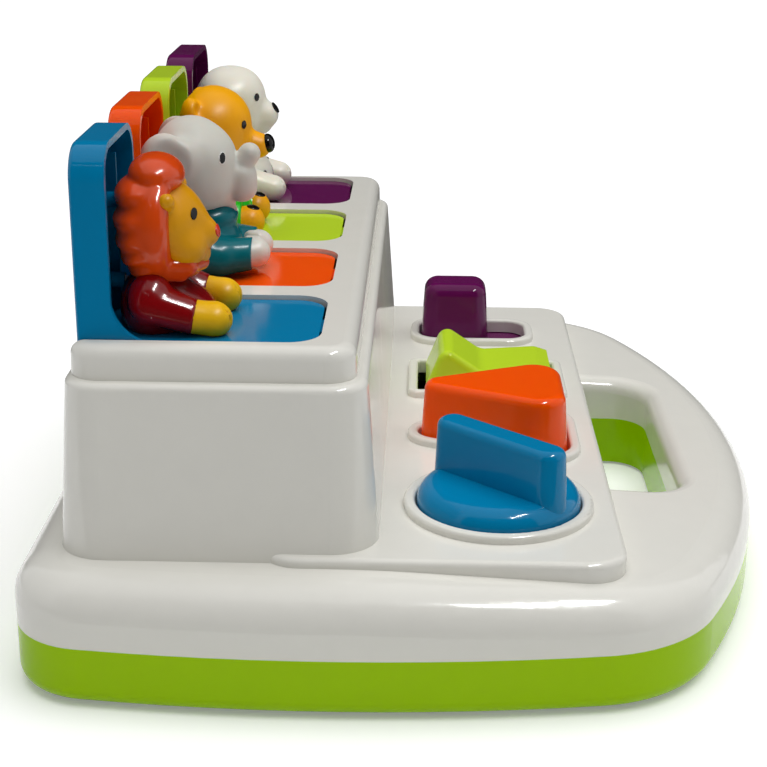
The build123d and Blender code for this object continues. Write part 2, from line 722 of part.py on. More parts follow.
# the lion's mane: two thick layers with scalloped edges
with BuildPart() as mane:
    for start, depth, edge_r, tuft_r, turn in ((0.6, 14.6, 15.6, 4.6, 0), (3.0, 16.2, 13.2, 4.4, 15)):
        with BuildSketch(Plane.XZ.offset(flap_wall + start - lid_back_y)):
            with Locations((lion_x, 131.5)):
                Circle(edge_r)
                with PolarLocations(edge_r, 12, start_angle=turn):
                    Circle(tuft_r)
        extrude(amount=depth)

with BuildPart() as lion:
    add(figure_body(lion_x, 13.5, 127.0, 52.6))
    add(mane.part)
    add(figure_cuts(lion_x), mode=Mode.SUBTRACT)
write(lion.part, "figure_lion")

with BuildPart() as elephant:
    add(figure_body(elephant_x, 15.0, 135.0, 48.9))
    for side in (-1, 1):
        with BuildSketch(Plane.YZ.offset(elephant_x + side * 16.4)):
            with Locations((79.5, 137)):
                Circle(11.5)
        extrude(amount=4.0, both=True)
    for start, end, r in (((0, 64, 128), (0, 57.5, 128), 6.0), ((0, 57, 129), (0, 55, 137), 4.3)):
        shift = Vector(elephant_x, 0, 0)
        add(limb(tuple(Vector(*start) + shift), tuple(Vector(*end) + shift), r))
    add(figure_cuts(elephant_x), mode=Mode.SUBTRACT)
write(elephant.part, "figure_elephant")

with BuildPart() as bear:
    add(figure_body(bear_x, 15.0, 135.0, 55.0))
    add(limb((bear_x, 66, 131), (bear_x, 58.6, 131), 6.6))
    for side in (-1, 1):
        with Locations((bear_x + side * 12.5, 79, 146)):
            Sphere(5.0)
    add(figure_cuts(bear_x), mode=Mode.SUBTRACT)
write(bear.part, "figure_bear")

with BuildPart() as puppy:
    add(figure_body(puppy_x, 15.2, 134.0, 51.8))
    add(limb((puppy_x, 66, 129.5), (puppy_x, 62, 129.5), 7.2))
    for side in (-1, 1):
        ear_top = (puppy_x + side * 14.5, 80, 141)
        add(limb(ear_top, (puppy_x + side * 16.5, 79, 129), 3.4))
    add(figure_cuts(puppy_x), mode=Mode.SUBTRACT)
write(puppy.part, "figure_puppy")

# ---------------------------------------------------------------- dial
crank_top_z = dial_foot_z - 5.6 - bar_gap
with BuildPart() as dial_knob:
    with Locations((dial_x, control_y, dial_foot_z)):
        Cylinder(dial_r, dial_top_z - dial_foot_z, align=standing)
    fillet(dial_knob.edges().group_by(Axis.Z)[-1], dial_edge_r)
    with BuildSketch(Plane(origin=(dial_x, control_y, dial_top_z - 5)).rotated((0, 0, fin_deg))) as fin:
        RectangleRounded(2 * fin_reach, 2 * fin_half, fin_half - 0.2)
    extrude(amount=fin_top_z - dial_top_z + 5, taper=fin_draft_deg)
    fillet(dial_knob.faces().sort_by(Axis.Z)[-1].edges(), fin_edge_r)
    with Locations((dial_x, control_y, crank_top_z)):
        Cylinder(stem_r, dial_foot_z - crank_top_z, align=standing)
    with Locations((dial_x, control_y, crank_top_z - 1.6)):
        Box(stem_key, stem_key, 2, align=standing)
        Cylinder(thread_r, 8, align=standing, mode=Mode.SUBTRACT)
write(dial_knob.part, "dial_knob")

peg_deg = 180 - dial_travel_deg / 2
peg_x = dial_x + crank_radius * cos(radians(peg_deg))
peg_y = control_y + crank_radius * sin(radians(peg_deg))
peg_span = crank_radius * (1 - cos(radians(dial_travel_deg / 2)))
with BuildPart() as dial_crank:
    with BuildSketch(Plane.XY.offset(crank_top_z - crank_t)):
        with Locations((dial_x, control_y)):
            Circle(7.0)
        with Locations((peg_x, peg_y)):
            Circle(peg_r + 1.2)
        with BuildLine():
            arm = Line((dial_x, control_y), (peg_x, peg_y))
        trace(arm, line_width=2 * peg_r + 2.4)
    extrude(amount=crank_t)
    with Locations((peg_x, peg_y, bar_z + bar_gap)):
        Cylinder(peg_r, crank_top_z - crank_t - bar_z, align=standing)
    with Locations((dial_x, control_y, crank_top_z - 1.7)):
        Box(stem_key + 0.04, stem_key + 0.04, 3, align=standing, mode=Mode.SUBTRACT)
    with Locations((dial_x, control_y, crank_top_z - 4)):
        Cylinder(thread_r, 5, align=standing, mode=Mode.SUBTRACT)
write(dial_crank.part, "dial_crank")

with BuildPart() as dial_screw:
    with Locations((dial_x, control_y, crank_top_z - crank_t - screw_head_t)):
        add(screw(7.0))
write(dial_screw.part, "dial_screw")

# ---------------------------------------------------------------- push button
cap_foot_z = skin_z - bar_gap - 2.0
cap_rise = button_top_z - cap_foot_z
leg_y = control_y + 14
wedge_sum = leg_y + bar_z + 3.0
with BuildPart() as button_cap:
    with BuildSketch(Plane.XY.offset(cap_foot_z)):
        add(button_plan.sketch)
    extrude(amount=cap_rise, taper=button_draft_deg)
    fillet(button_cap.faces().sort_by(Axis.Z)[-1].edges(), button_edge_r)
    with BuildSketch(Plane.XY.offset(cap_foot_z)):
        offset(button_plan.sketch, amount=-2.2, mode=Mode.ADD)
    extrude(amount=cap_rise - 2.4, taper=button_draft_deg, mode=Mode.SUBTRACT)
    # flange that stops the cap under the panel
    with BuildSketch(Plane.XY.offset(cap_foot_z)):
        offset(button_plan.sketch, amount=button_gap + 1.3, mode=Mode.ADD)
        offset(button_plan.sketch, amount=-2.2, mode=Mode.SUBTRACT)
    extrude(amount=2.0)
    # guide tube, and the leg whose slanted foot drives the release bar
    with Locations((button_x, control_y, cap_foot_z - 1)):
        Cylinder(4.2, cap_rise - 1, align=standing)
        Cylinder(button_post_r + running, cap_rise - 4, align=standing, mode=Mode.SUBTRACT)
    with BuildSketch(Plane.YZ.offset(button_x)):
        with BuildLine():
            top = button_top_z - 1.5
            Polyline(
                (leg_y - 2, top),
                (leg_y - 2, wedge_sum - leg_y + 2),
                (leg_y + 2, wedge_sum - leg_y - 2),
                (leg_y + 2, top),
                close=True,
            )
        make_face()
    extrude(amount=3, both=True)
write(button_cap.part, "button_cap")

with BuildPart() as button_spring:
    with Locations((button_x, control_y, tray_floor_z + 12.5)):
        add(coil(button_post_r + 0.8, cap_foot_z - 1 - tray_floor_z - 12.5, 5, 0.8))
write(button_spring.part, "button_spring")

# ---------------------------------------------------------------- rocker
with BuildSketch() as rocker_side:
    with BuildLine():
        corners = [
            (rocker_front_y, rocker_foot_z),
            (rocker_front_y + 1.2, rocker_arm_z - 1.5),
            (rocker_front_y + 6, rocker_arm_z),
            (rocker_valley_y, rocker_valley_z),
            (rocker_peak_y, rocker_peak_z),
            (rocker_back_y - 4.5, rocker_peak_z - 3.0),
            (rocker_back_y, 45),
            (rocker_back_y, rocker_foot_z),
        ]
        Polyline(*corners, close=True)
    make_face()
    for corner, r in ((corners[5], 4.0), (corners[4], 3.8), (corners[3], 6.0), (corners[2], 5.0)):
        near = rocker_side.vertices().sort_by_distance((*corner, 0))
        fillet(near[0], r)

tail_deg = rocker_travel_deg / 2
tail_length = (rocker_pivot_z - bar_z - bar_t / 2) / cos(radians(tail_deg))
tail_y = control_y + tail_length * sin(radians(tail_deg))
with BuildPart() as rocker:
    with BuildSketch(Plane.YZ.offset(rocker_x)):
        add(rocker_side.sketch)
    extrude(amount=rocker_half_x, both=True)
    sides = rocker.faces().filter_by(Axis.X)
    crown = sides.edges().filter_by(lambda e: e.center().Z > 46)
    fillet(crown, 2.6)
    with BuildSketch(Plane.YZ.offset(rocker_x)):
        offset(rocker_side.sketch, amount=-2.2, mode=Mode.ADD)
        with Locations(((rocker_front_y + rocker_back_y) / 2, rocker_foot_z - 1)):
            depth = rocker_back_y - rocker_front_y - 4.4
            Rectangle(depth, 6, align=(Align.CENTER, Align.MIN))
    extrude(amount=rocker_half_x - 2.2, both=True, mode=Mode.SUBTRACT)
    with BuildSketch(Plane.YZ.offset(rocker_x)):
        with Locations((control_y, rocker_pivot_z)):
            Circle(4.0)
    extrude(amount=rocker_half_x, both=True)
    # web up to the crown, and the tail that works the bar
    with BuildSketch(Plane.YZ.offset(rocker_x)):
        with Locations((control_y, rocker_pivot_z)):
            Rectangle(6, rocker_valley_z - rocker_pivot_z - 1, align=(Align.CENTER, Align.MIN))
        with BuildLine():
            tail_line = Line((control_y, rocker_pivot_z), (tail_y, bar_z + bar_t / 2))
        trace(tail_line, line_width=3.0)
    extrude(amount=2.0, both=True)
    with BuildSketch(Plane.YZ.offset(rocker_x)):
        with Locations((tail_y, bar_z + bar_t / 2)):
            Circle(1.5)
    extrude(amount=2.0, both=True)
    with BuildSketch(Plane.YZ.offset(rocker_x)):
        with Locations((control_y, rocker_pivot_z)):
            Circle(rocker_pin_r + running)
    extrude(amount=rocker_half_x + 1, both=True, mode=Mode.SUBTRACT)
write(rocker.part, "rocker")

with BuildPart() as rocker_pin:
    with BuildSketch(Plane.YZ.offset(rocker_x)):
        with Locations((control_y, rocker_pivot_z)):
            Circle(rocker_pin_r)
    extrude(amount=rocker_half_x + rocker_gap + 3.5, both=True)
write(rocker_pin.part, "rocker_pin")

# ---------------------------------------------------------------- slide
slide_screws_at = [(slide_x, slide_mid_y - 8), (slide_x, slide_mid_y + 8)]
slide_plate_z = slide_plate_top_z - slide_plate_t
with BuildPart() as slide_knob:
    with BuildSketch(Plane.XY.offset(slide_plate_top_z)):
        with Locations((slide_x, slide_mid_y)):
            RectangleRounded(2 * slide_half_x, slide_length, slide_corner_r)
    extrude(amount=slide_top_z - slide_plate_top_z, taper=slide_draft_deg)
    fillet(slide_knob.faces().sort_by(Axis.Z)[-1].edges(), slide_edge_r)
    with BuildSketch(Plane.XY.offset(slide_plate_top_z)):
        with Locations((slide_x, slide_mid_y)):
            RectangleRounded(
                2 * (slide_half_x - slide_wall), slide_length - 2 * slide_wall, slide_corner_r - slide_wall
            )
        with Locations(*slide_screws_at):
            Circle(3.0, mode=Mode.SUBTRACT)
    extrude(amount=slide_top_z - slide_plate_top_z - 2.4, mode=Mode.SUBTRACT)
    with Locations(*[(x, y, slide_plate_top_z) for x, y in slide_screws_at]):
        Cylinder(thread_r, 10, align=standing, mode=Mode.SUBTRACT)
write(slide_knob.part, "slide_knob")

with BuildPart() as slide_plate:
    with BuildSketch(Plane.XY.offset(slide_plate_z)):
        front = slot_front_y - 1.4
        back = slot_back_y + slide_travel + 1.4
        with Locations((slide_x, (front + back) / 2)):
            Rectangle(2 * slide_plate_half_x, back - front)
        with Locations(*slide_screws_at):
            Circle(thread_r, mode=Mode.SUBTRACT)
    extrude(amount=slide_plate_t)
    # lug that drives the release bar
    with Locations((slide_x, slide_mid_y, bar_z + bar_gap)):
        Box(5, 5, slide_plate_z - bar_z, align=standing)
write(slide_plate.part, "slide_plate")

with BuildPart() as slide_screws:
    with Locations(*[(x, y, slide_plate_z - screw_head_t) for x, y in slide_screws_at]):
        add(screw(9.0))
write(slide_screws.part, "slide_screws")

with BuildPart() as slide_keeper:
    with BuildSketch(Plane.XY.offset(keeper_top_z - keeper_t)):
        with Locations((slide_x, -26)):
            Rectangle(2 * (rail_x + rail_width / 2), 64)
        with Locations((slide_x, slide_mid_y - slide_travel / 2)):
            Rectangle(7.0, 16 + 7.0 + slide_travel, mode=Mode.SUBTRACT)
        with Locations(*keeper_screws_at):
            Circle(thread_r, mode=Mode.SUBTRACT)
    extrude(amount=keeper_t)
write(slide_keeper.part, "slide_keeper")

with BuildPart() as keeper_screws:
    with Locations(*[(x, y, keeper_top_z - keeper_t - screw_head_t) for x, y in keeper_screws_at]):
        add(screw(5.5))
write(keeper_screws.part, "keeper_screws")


# ---------------------------------------------------------------- release bars and their springs
def bar_blank(x, bar_front_y):
    """A flat bar with the window of its return spring and the catch at its rear end."""
    with BuildPart() as bar:
        with BuildSketch(Plane.XY.offset(bar_z)):
            with Locations((x, (bar_front_y + bar_back_y) / 2)):
                Rectangle(bar_width, bar_back_y - bar_front_y)
            with Locations((x, window_back_y - window_length / 2)):
                Rectangle(6.4, window_length, mode=Mode.SUBTRACT)
        extrude(amount=bar_t)
        with Locations((x, catch_y, bar_top_z)):
            Box(10, 5, catch_top_z - bar_top_z, align=standing)
    return bar.part


with BuildPart() as bar_dial:
    add(bar_blank(dial_x, peg_y - 5))
    with BuildSketch(Plane.XY.offset(bar_z)):
        with Locations((dial_x, peg_y)):
            Rectangle(crank_radius + peg_r + 3, 10, align=(Align.MAX, Align.CENTER))
    extrude(amount=bar_t)
    with BuildSketch(Plane.XY.offset(bar_z)):
        with Locations((peg_x - peg_span / 2, peg_y)):
            SlotOverall(2 * peg_r + peg_span + 2 * bar_gap, 2 * peg_r + 2 * bar_gap)
    extrude(amount=bar_t, mode=Mode.SUBTRACT)
write(bar_dial.part, "bar_dial")

with BuildPart() as bar_button:
    add(bar_blank(button_x, control_y + button_travel + button_post_r + 0.5))
    with BuildSketch(Plane.YZ.offset(button_x)):
        with BuildLine():
            ramp = wedge_sum - 0.42
            Polyline(
                (ramp - bar_top_z, bar_top_z),
                (ramp - bar_z, bar_z),
                (leg_y + 2 + button_travel + 1.5, bar_z),
                (leg_y + 2 + button_travel + 1.5, bar_top_z),
                close=True,
            )
        make_face()
    extrude(amount=3.4, both=True, mode=Mode.SUBTRACT)
write(bar_button.part, "bar_button")

with BuildPart() as bar_rocker:
    add(bar_blank(rocker_x, tail_y - 6))
    with BuildSketch(Plane.XY.offset(bar_z)):
        with Locations((rocker_x, tail_y)):
            Rectangle(4.6, 4.4)
    extrude(amount=bar_t, mode=Mode.SUBTRACT)
write(bar_rocker.part, "bar_rocker")

with BuildPart() as bar_slide:
    add(bar_blank(slide_x, slide_mid_y - 6))
    with BuildSketch(Plane.XY.offset(bar_z)):
        with Locations((slide_x, slide_mid_y)):
            Rectangle(5.6, 5.6)
    extrude(amount=bar_t, mode=Mode.SUBTRACT)
write(bar_slide.part, "bar_slide")

spring_front_y = post_y + post_t / 2
for x, control in zip(station_x, ("dial", "button", "rocker", "slide")):
    with BuildPart() as bar_spring:
        along = Plane(origin=(x, spring_front_y, bar_z + bar_t / 2), x_dir=(1, 0, 0), z_dir=(0, 1, 0))
        with Locations(along):
            add(coil(2.3, window_back_y - spring_front_y, 5, wire))
    write(bar_spring.part, f"bar_spring_{control}")
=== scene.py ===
# %% [markdown]
# # A pop up animal toy, finished in Blender
# The toy is a D-shaped white base on a green tray. Four controls at the front, a dial, a push
# button, a rocker and a slide, each release a coloured lid in the tower behind them, and an
# animal stands up with its lid. The hard parts come ready made from the CAD frame: here they get
# their moulded plastic, rubber and steel finishes, and the animals are sculpted on top.
#
# The lesson goes in the order of the work: load the frame, set the camera, build a plain studio,
# make the finishes, sculpt the animals, and add the small repeated details.

import math

import bpy
import numpy as np
from mathutils import Euler, Matrix, Vector


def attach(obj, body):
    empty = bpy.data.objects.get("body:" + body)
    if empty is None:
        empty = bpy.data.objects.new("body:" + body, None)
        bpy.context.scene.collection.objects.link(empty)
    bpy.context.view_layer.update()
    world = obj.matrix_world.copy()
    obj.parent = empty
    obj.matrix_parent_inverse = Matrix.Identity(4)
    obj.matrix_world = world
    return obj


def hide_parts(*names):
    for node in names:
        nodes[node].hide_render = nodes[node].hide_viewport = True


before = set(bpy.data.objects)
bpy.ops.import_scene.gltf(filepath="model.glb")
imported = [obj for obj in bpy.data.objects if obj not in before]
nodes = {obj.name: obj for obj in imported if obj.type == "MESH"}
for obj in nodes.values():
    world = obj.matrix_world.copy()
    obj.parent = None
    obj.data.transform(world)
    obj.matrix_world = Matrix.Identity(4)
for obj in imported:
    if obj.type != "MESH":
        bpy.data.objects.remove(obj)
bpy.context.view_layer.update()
scene = bpy.context.scene
scene.view_settings.view_transform = "Standard"
MM = 0.001

# %% [markdown]
# ## Where each control and lid stands
# The four lids and the four controls share four stations across the toy, 58 mm apart. Everything
# that repeats from lid to lid is placed from this list.

# %% Stations
PITCH = 58.0
STATIONS = {"blue": -1.5 * PITCH, "orange": -0.5 * PITCH, "green": 0.5 * PITCH, "purple": 1.5 * PITCH}
ANIMALS = {"blue": "lion", "orange": "elephant", "green": "bear", "purple": "puppy"}
print("Stations:", STATIONS)


# %% [markdown]
# ## Colours
# Colours are written as a designer would pick them on screen, from 0 to 255. Shaders count light, so
# each number is turned to its linear value first. Blender's colour picker does the same by itself.


# %% From screen colour to light
def paint(red, green, blue):
    """Screen colour 0..255 to the linear colour that shaders use."""
    def linear(c):
        c /= 255
        return c / 12.92 if c <= 0.04045 else ((c + 0.055) / 1.055) ** 2.4
    return (linear(red), linear(green), linear(blue), 1.0)


print("Mid grey on screen is", round(paint(128, 128, 128)[0], 3), "as light")

# %% [markdown]
# ## Camera
# A catalogue view from the end of the toy: a long lens a little above the deck, so that the four
# lids line up one behind the other. A camera is aimed by its matrix: its columns are the picture's
# right, the picture's up, and the direction away from what it looks at.

# %% Camera: which way is forward, right and up
AZIMUTH, ELEVATION, ROLL = -88.579, 19.205, 0.386     # degrees
EYE = (-544.7, -1.97, 240.37)                         # where the lens is, mm
FOCAL_PIXELS, PICTURE_PIXELS = 1623.5, 767            # focal length and picture width, in pixels
SENSOR = 36.0                                         # mm
azimuth, elevation, roll = (math.radians(a) for a in (AZIMUTH, ELEVATION, ROLL))
forward = -Vector((math.sin(azimuth) * math.cos(elevation), -math.cos(azimuth) * math.cos(elevation),
                   math.sin(elevation)))
right = forward.cross(Vector((0, 0, 1))).normalized()
up = right.cross(forward)
right, up = right * math.cos(roll) + up * math.sin(roll), up * math.cos(roll) - right * math.sin(roll)
print("The camera looks along", [round(v, 3) for v in forward])

# %% Camera: the object
eye = Vector(EYE) * MM
camera = bpy.data.objects.new("camera", bpy.data.cameras.new("camera"))
camera.matrix_world = Matrix((
    (right.x, up.x, -forward.x, eye.x), (right.y, up.y, -forward.y, eye.y),
    (right.z, up.z, -forward.z, eye.z), (0, 0, 0, 1)))
camera.data.sensor_width = SENSOR
camera.data.lens = SENSOR * FOCAL_PIXELS / PICTURE_PIXELS
camera.data.clip_start, camera.data.clip_end = 0.01, 20
scene.collection.objects.link(camera)
scene.camera = camera
print("Camera lens:", round(camera.data.lens, 2), "mm")

# %% [markdown]
# ## Studio
# Glossy plastic shows the room, so the room matters. A wide overhead sun gives the calm main light
# and isn't mirrored. Three small square lamps are only mirrored: they leave the row of bright dots
# that polished edges have. A narrow strip draws one long line.
#
# The floor and the surround are white to the camera and to reflections, but light the toy only a
# little, and the floor still takes the toy's soft shadow. Two dark cards that only mirrors see stand
# past both ends: a white room mirrored in coloured plastic would wash it out.


# %% Node helpers: new nodes with their settings, and wires between them
def step_node(tree, kind, **settings):
    node = tree.nodes.new(kind)
    for key, value in settings.items():
        setattr(node, key, value)
    return node


def wire(tree, *links):
    """Each link is (node, its output, next node, its input)."""
    for source, output, target, entry in links:
        tree.links.new(source.outputs[output], target.inputs[entry])


def only_seen(tree):
    """A node that gives 1 for camera, mirror and glass rays, and 0 for the rays that light the toy."""
    path = step_node(tree, "ShaderNodeLightPath")
    first = step_node(tree, "ShaderNodeMath", operation="MAXIMUM")
    second = step_node(tree, "ShaderNodeMath", operation="MAXIMUM")
    wire(tree, (path, "Is Camera Ray", first, 0), (path, "Is Glossy Ray", first, 1),
         (first, 0, second, 0), (path, "Is Transmission Ray", second, 1))
    return second


# %% Studio: surround
SOFT_LIGHT = 0.20     # how much the surround lights the toy; it looks 1.0, white, to the camera
world = bpy.data.worlds.new("white_surround")
scene.world = world
world.use_nodes = True
tree = world.node_tree
tree.nodes.clear()
soft = step_node(tree, "ShaderNodeBackground")
soft.inputs["Color"].default_value = (0.96, 0.98, 1.0, 1)
soft.inputs["Strength"].default_value = SOFT_LIGHT
seen = step_node(tree, "ShaderNodeBackground")
seen.inputs["Color"].default_value = (1, 1, 1, 1)
seen.inputs["Strength"].default_value = 1.0
mix, out = step_node(tree, "ShaderNodeMixShader"), step_node(tree, "ShaderNodeOutputWorld")
wire(tree, (only_seen(tree), 0, mix, 0), (soft, 0, mix, 1), (seen, 0, mix, 2), (mix, 0, out, 0))
print("Surround: white to the camera, strength", SOFT_LIGHT, "as light")


# %% Studio: lamps
def softbox(name, place, target, size, watts):
    """A rectangular soft lamp at place, aimed at target; all in metres."""
    data = bpy.data.lights.new(name, "AREA")
    data.shape = "RECTANGLE"
    data.size, data.size_y = size
    data.energy = watts
    lamp = bpy.data.objects.new(name, data)
    lamp.location = place
    lamp.rotation_euler = (Vector(target) - Vector(place)).to_track_quat("-Z", "Y").to_euler()
    scene.collection.objects.link(lamp)
    return lamp


def soft_sun(name, towards, strength, spread):
    """A distant lamp in the direction towards, as wide as spread degrees."""
    data = bpy.data.lights.new(name, "SUN")
    data.energy = strength
    data.angle = math.radians(spread)
    lamp = bpy.data.objects.new(name, data)
    lamp.rotation_euler = Vector(towards).to_track_quat("Z", "Y").to_euler()
    scene.collection.objects.link(lamp)
    return lamp


sun = soft_sun("lamp_overhead", (0.05, -0.16, 1.0), 2.5, 65)
sun.visible_glossy = False
SPOT_SIZE, SPOT_WATTS = (0.05, 0.05), 4.0
SPOTLIGHTS = ((-0.55, -0.28, 0.95), (-0.40, -0.36, 1.00), (-0.25, -0.44, 1.05))
for number, spot in enumerate(SPOTLIGHTS, start=1):
    lamp = softbox(f"lamp_spot_{number}", spot, (0, 0, 0.05), SPOT_SIZE, SPOT_WATTS)
    lamp.visible_diffuse = False
softbox("lamp_strip", (-0.75, 0.30, 0.80), (0, 0.02, 0.06), (0.50, 0.02), 0.12)

# %% Studio: two dark cards that only mirrors see, so that polished plastic keeps its full colour
CARD_START, CARD_END, CARD_TOP, CARD_SIDE, CARD_LIFT = 0.21, 1.3, 1.9, 1.6, 0.002     # metres
profile = ((CARD_START, CARD_LIFT), (CARD_END, CARD_LIFT), (CARD_END, CARD_TOP))
corners = [(end * x, y, z) for end in (-1, 1) for x, z in profile for y in (-CARD_SIDE, CARD_SIDE)]
card_mesh = bpy.data.meshes.new("dark_card")
card_mesh.from_pydata(corners, [], [(0, 1, 3, 2), (2, 3, 5, 4), (6, 7, 9, 8), (8, 9, 11, 10)])
card_black = bpy.data.materials.new("card_black")
card_black.use_nodes = True
card_shader = card_black.node_tree.nodes["Principled BSDF"]
card_shader.inputs["Base Color"].default_value = (0.02, 0.02, 0.02, 1)
card_shader.inputs["Roughness"].default_value = 1.0
card_mesh.materials.append(card_black)
card = bpy.data.objects.new("dark_card", card_mesh)
scene.collection.objects.link(card)
for ray in ("camera", "diffuse", "transmission", "volume_scatter", "shadow"):
    setattr(card, "visible_" + ray, False)
print("Card:", card.name)

# %% Studio: floor
FLOOR_HALF, FLOOR_LIFT = 4, 0.22     # half width in metres, and the glow that brings the floor up to white
mesh = bpy.data.meshes.new("floor")
mesh.from_pydata([(x * FLOOR_HALF, y * FLOOR_HALF, 0) for x, y in ((-1, -1), (1, -1), (1, 1), (-1, 1))],
                 [], [(0, 1, 2, 3)])
floor = bpy.data.objects.new("floor", mesh)
scene.collection.objects.link(floor)
white_floor = bpy.data.materials.new("white_floor")
white_floor.use_nodes = True
tree = white_floor.node_tree
tree.nodes.clear()
cloth = step_node(tree, "ShaderNodeBsdfDiffuse")
cloth.inputs["Color"].default_value = (0.90, 0.90, 0.90, 1)
lift = step_node(tree, "ShaderNodeEmission")
lift.inputs["Strength"].default_value = FLOOR_LIFT
both, mix = step_node(tree, "ShaderNodeAddShader"), step_node(tree, "ShaderNodeMixShader")
out = step_node(tree, "ShaderNodeOutputMaterial")
wire(tree, (cloth, 0, both, 0), (lift, 0, both, 1), (only_seen(tree), 0, mix, 0),
     (cloth, 0, mix, 1), (both, 0, mix, 2), (mix, 0, out, 0))
mesh.materials.append(white_floor)
print("Floor:", floor.name)

# %% [markdown]
# ## Shared shader groups
# Three effects come back in many finishes, so each is a node group: the very fine unevenness of a
# moulded skin, the faint rubbing and dust of a toy that has been handled, and a soft patch of a
# second colour, for vinyl that is tinted in one place. They give out only values and colours.


# %% A helper that starts a shader group with named sockets
def new_group(name, inputs, outputs):
    group = bpy.data.node_groups.new(name, "ShaderNodeTree")
    for label, kind, value in inputs:
        socket = group.interface.new_socket(label, in_out="INPUT", socket_type=kind)
        socket.default_value = value
    for label, kind in outputs:
        group.interface.new_socket(label, in_out="OUTPUT", socket_type=kind)
    return group, group.nodes.new("NodeGroupInput"), group.nodes.new("NodeGroupOutput")


def preset(node, **values):
    """Sets input sockets by name, with _ for a space."""
    for label, value in values.items():
        node.inputs[label.replace("_", " ")].default_value = value
    return node


# %% Group 1: moulded skin
moulded_skin, given, gives = new_group(
    "moulded_skin",
    [("Wave Size", "NodeSocketFloat", 90.0), ("Grain Size", "NodeSocketFloat", 2600.0),
     ("Grain Share", "NodeSocketFloat", 0.15)],
    [("Height", "NodeSocketFloat")])
place = step_node(moulded_skin, "ShaderNodeTexCoord")
wave = preset(step_node(moulded_skin, "ShaderNodeTexNoise"), Detail=1.0)
grain = preset(step_node(moulded_skin, "ShaderNodeTexNoise"), Detail=2.0)
blend = step_node(moulded_skin, "ShaderNodeMix", data_type="FLOAT")
wire(moulded_skin,
     (place, "Object", wave, "Vector"), (place, "Object", grain, "Vector"),
     (given, "Wave Size", wave, "Scale"), (given, "Grain Size", grain, "Scale"),
     (given, "Grain Share", blend, 0), (wave, "Fac", blend, 2), (grain, "Fac", blend, 3),
     (blend, 0, gives, "Height"))
print("Group:", moulded_skin.name)

# %% Group 2: handling marks, as a roughness map
handling, given, gives = new_group(
    "handling_marks",
    [("Roughness", "NodeSocketFloat", 0.15), ("Rubbed", "NodeSocketFloat", 0.12),
     ("Patch Size", "NodeSocketFloat", 28.0), ("Scratch Size", "NodeSocketFloat", 160.0)],
    [("Roughness", "NodeSocketFloat"), ("Mask", "NodeSocketFloat")])
place = step_node(handling, "ShaderNodeTexCoord")
patch = preset(step_node(handling, "ShaderNodeTexNoise"), Detail=4.0)
scratch = preset(step_node(handling, "ShaderNodeTexNoise"), Detail=6.0, Distortion=1.5)
hold = preset(step_node(handling, "ShaderNodeMapRange"), From_Min=0.48, From_Max=0.72)
fine = preset(step_node(handling, "ShaderNodeMapRange"), From_Min=0.40, From_Max=0.75)
times = step_node(handling, "ShaderNodeMath", operation="MULTIPLY")
amount = step_node(handling, "ShaderNodeMath", operation="MULTIPLY")
total = step_node(handling, "ShaderNodeMath", operation="ADD")
wire(handling,
     (place, "Object", patch, "Vector"), (place, "Object", scratch, "Vector"),
     (given, "Patch Size", patch, "Scale"), (given, "Scratch Size", scratch, "Scale"),
     (patch, "Fac", hold, "Value"), (scratch, "Fac", fine, "Value"),
     (hold, 0, times, 0), (fine, 0, times, 1), (times, 0, amount, 0), (given, "Rubbed", amount, 1),
     (amount, 0, total, 0), (given, "Roughness", total, 1),
     (total, 0, gives, "Roughness"), (times, 0, gives, "Mask"))
print("Group:", handling.name)

# %% Group 3: a soft patch of a second colour round a point
blush, given, gives = new_group(
    "blush",
    [("Colour", "NodeSocketColor", (1, 1, 1, 1)), ("Blush", "NodeSocketColor", (1, 0.6, 0.6, 1)),
     ("Centre", "NodeSocketVector", (0, 0, 0)), ("Reach", "NodeSocketFloat", 0.01),
     ("Amount", "NodeSocketFloat", 1.0), ("Mottle", "NodeSocketFloat", 0.06)],
    [("Colour", "NodeSocketColor")])
place = step_node(blush, "ShaderNodeTexCoord")
far = step_node(blush, "ShaderNodeVectorMath", operation="DISTANCE")
fade = preset(step_node(blush, "ShaderNodeMapRange", interpolation_type="SMOOTHSTEP"), To_Min=1.0, To_Max=0.0)
much = step_node(blush, "ShaderNodeMath", operation="MULTIPLY")
tint = step_node(blush, "ShaderNodeMix", data_type="RGBA")
cloud = preset(step_node(blush, "ShaderNodeTexNoise"), Scale=120.0, Detail=3.0)
shade = preset(step_node(blush, "ShaderNodeMapRange"), To_Min=1.0)
less = step_node(blush, "ShaderNodeMath", operation="SUBTRACT")
less.inputs[0].default_value = 1.0
darker = step_node(blush, "ShaderNodeMix", data_type="RGBA", blend_type="MULTIPLY")
darker.inputs[0].default_value = 1.0
wire(blush,
     (place, "Object", far, 0), (given, "Centre", far, 1), (far, "Value", fade, "Value"),
     (given, "Reach", fade, "From Max"), (fade, 0, much, 0), (given, "Amount", much, 1),
     (much, 0, tint, 0), (given, "Colour", tint, 6), (given, "Blush", tint, 7),
     (place, "Object", cloud, "Vector"), (cloud, "Fac", shade, "Value"),
     (given, "Mottle", less, 1), (less, 0, shade, "To Max"),
     (tint, 2, darker, 6), (shade, 0, darker, 7), (darker, 2, gives, "Colour"))
print("Group:", blush.name)

# %% [markdown]
# ## Finishes
# The shells, lids and controls are injection moulded in polished tools: full colour, a sharp
# mirror-like gloss, and a surface that waves very slightly as it shrinks. The animals are soft
# vinyl, some matt and some lacquered. Each finish is one Principled shader whose plain values stay
# on its own sockets, with the groups feeding colour, roughness and bump.


# %% A finish for moulded plastic, vinyl and rubber
SOFTEN_DEPTH, SOFTEN_RADIUS = 0.004, (1.0, 0.5, 0.3)     # how far light spreads below the surface
GRAIN_SIZE = 2600.0                                       # grains to the metre
finishes = {}


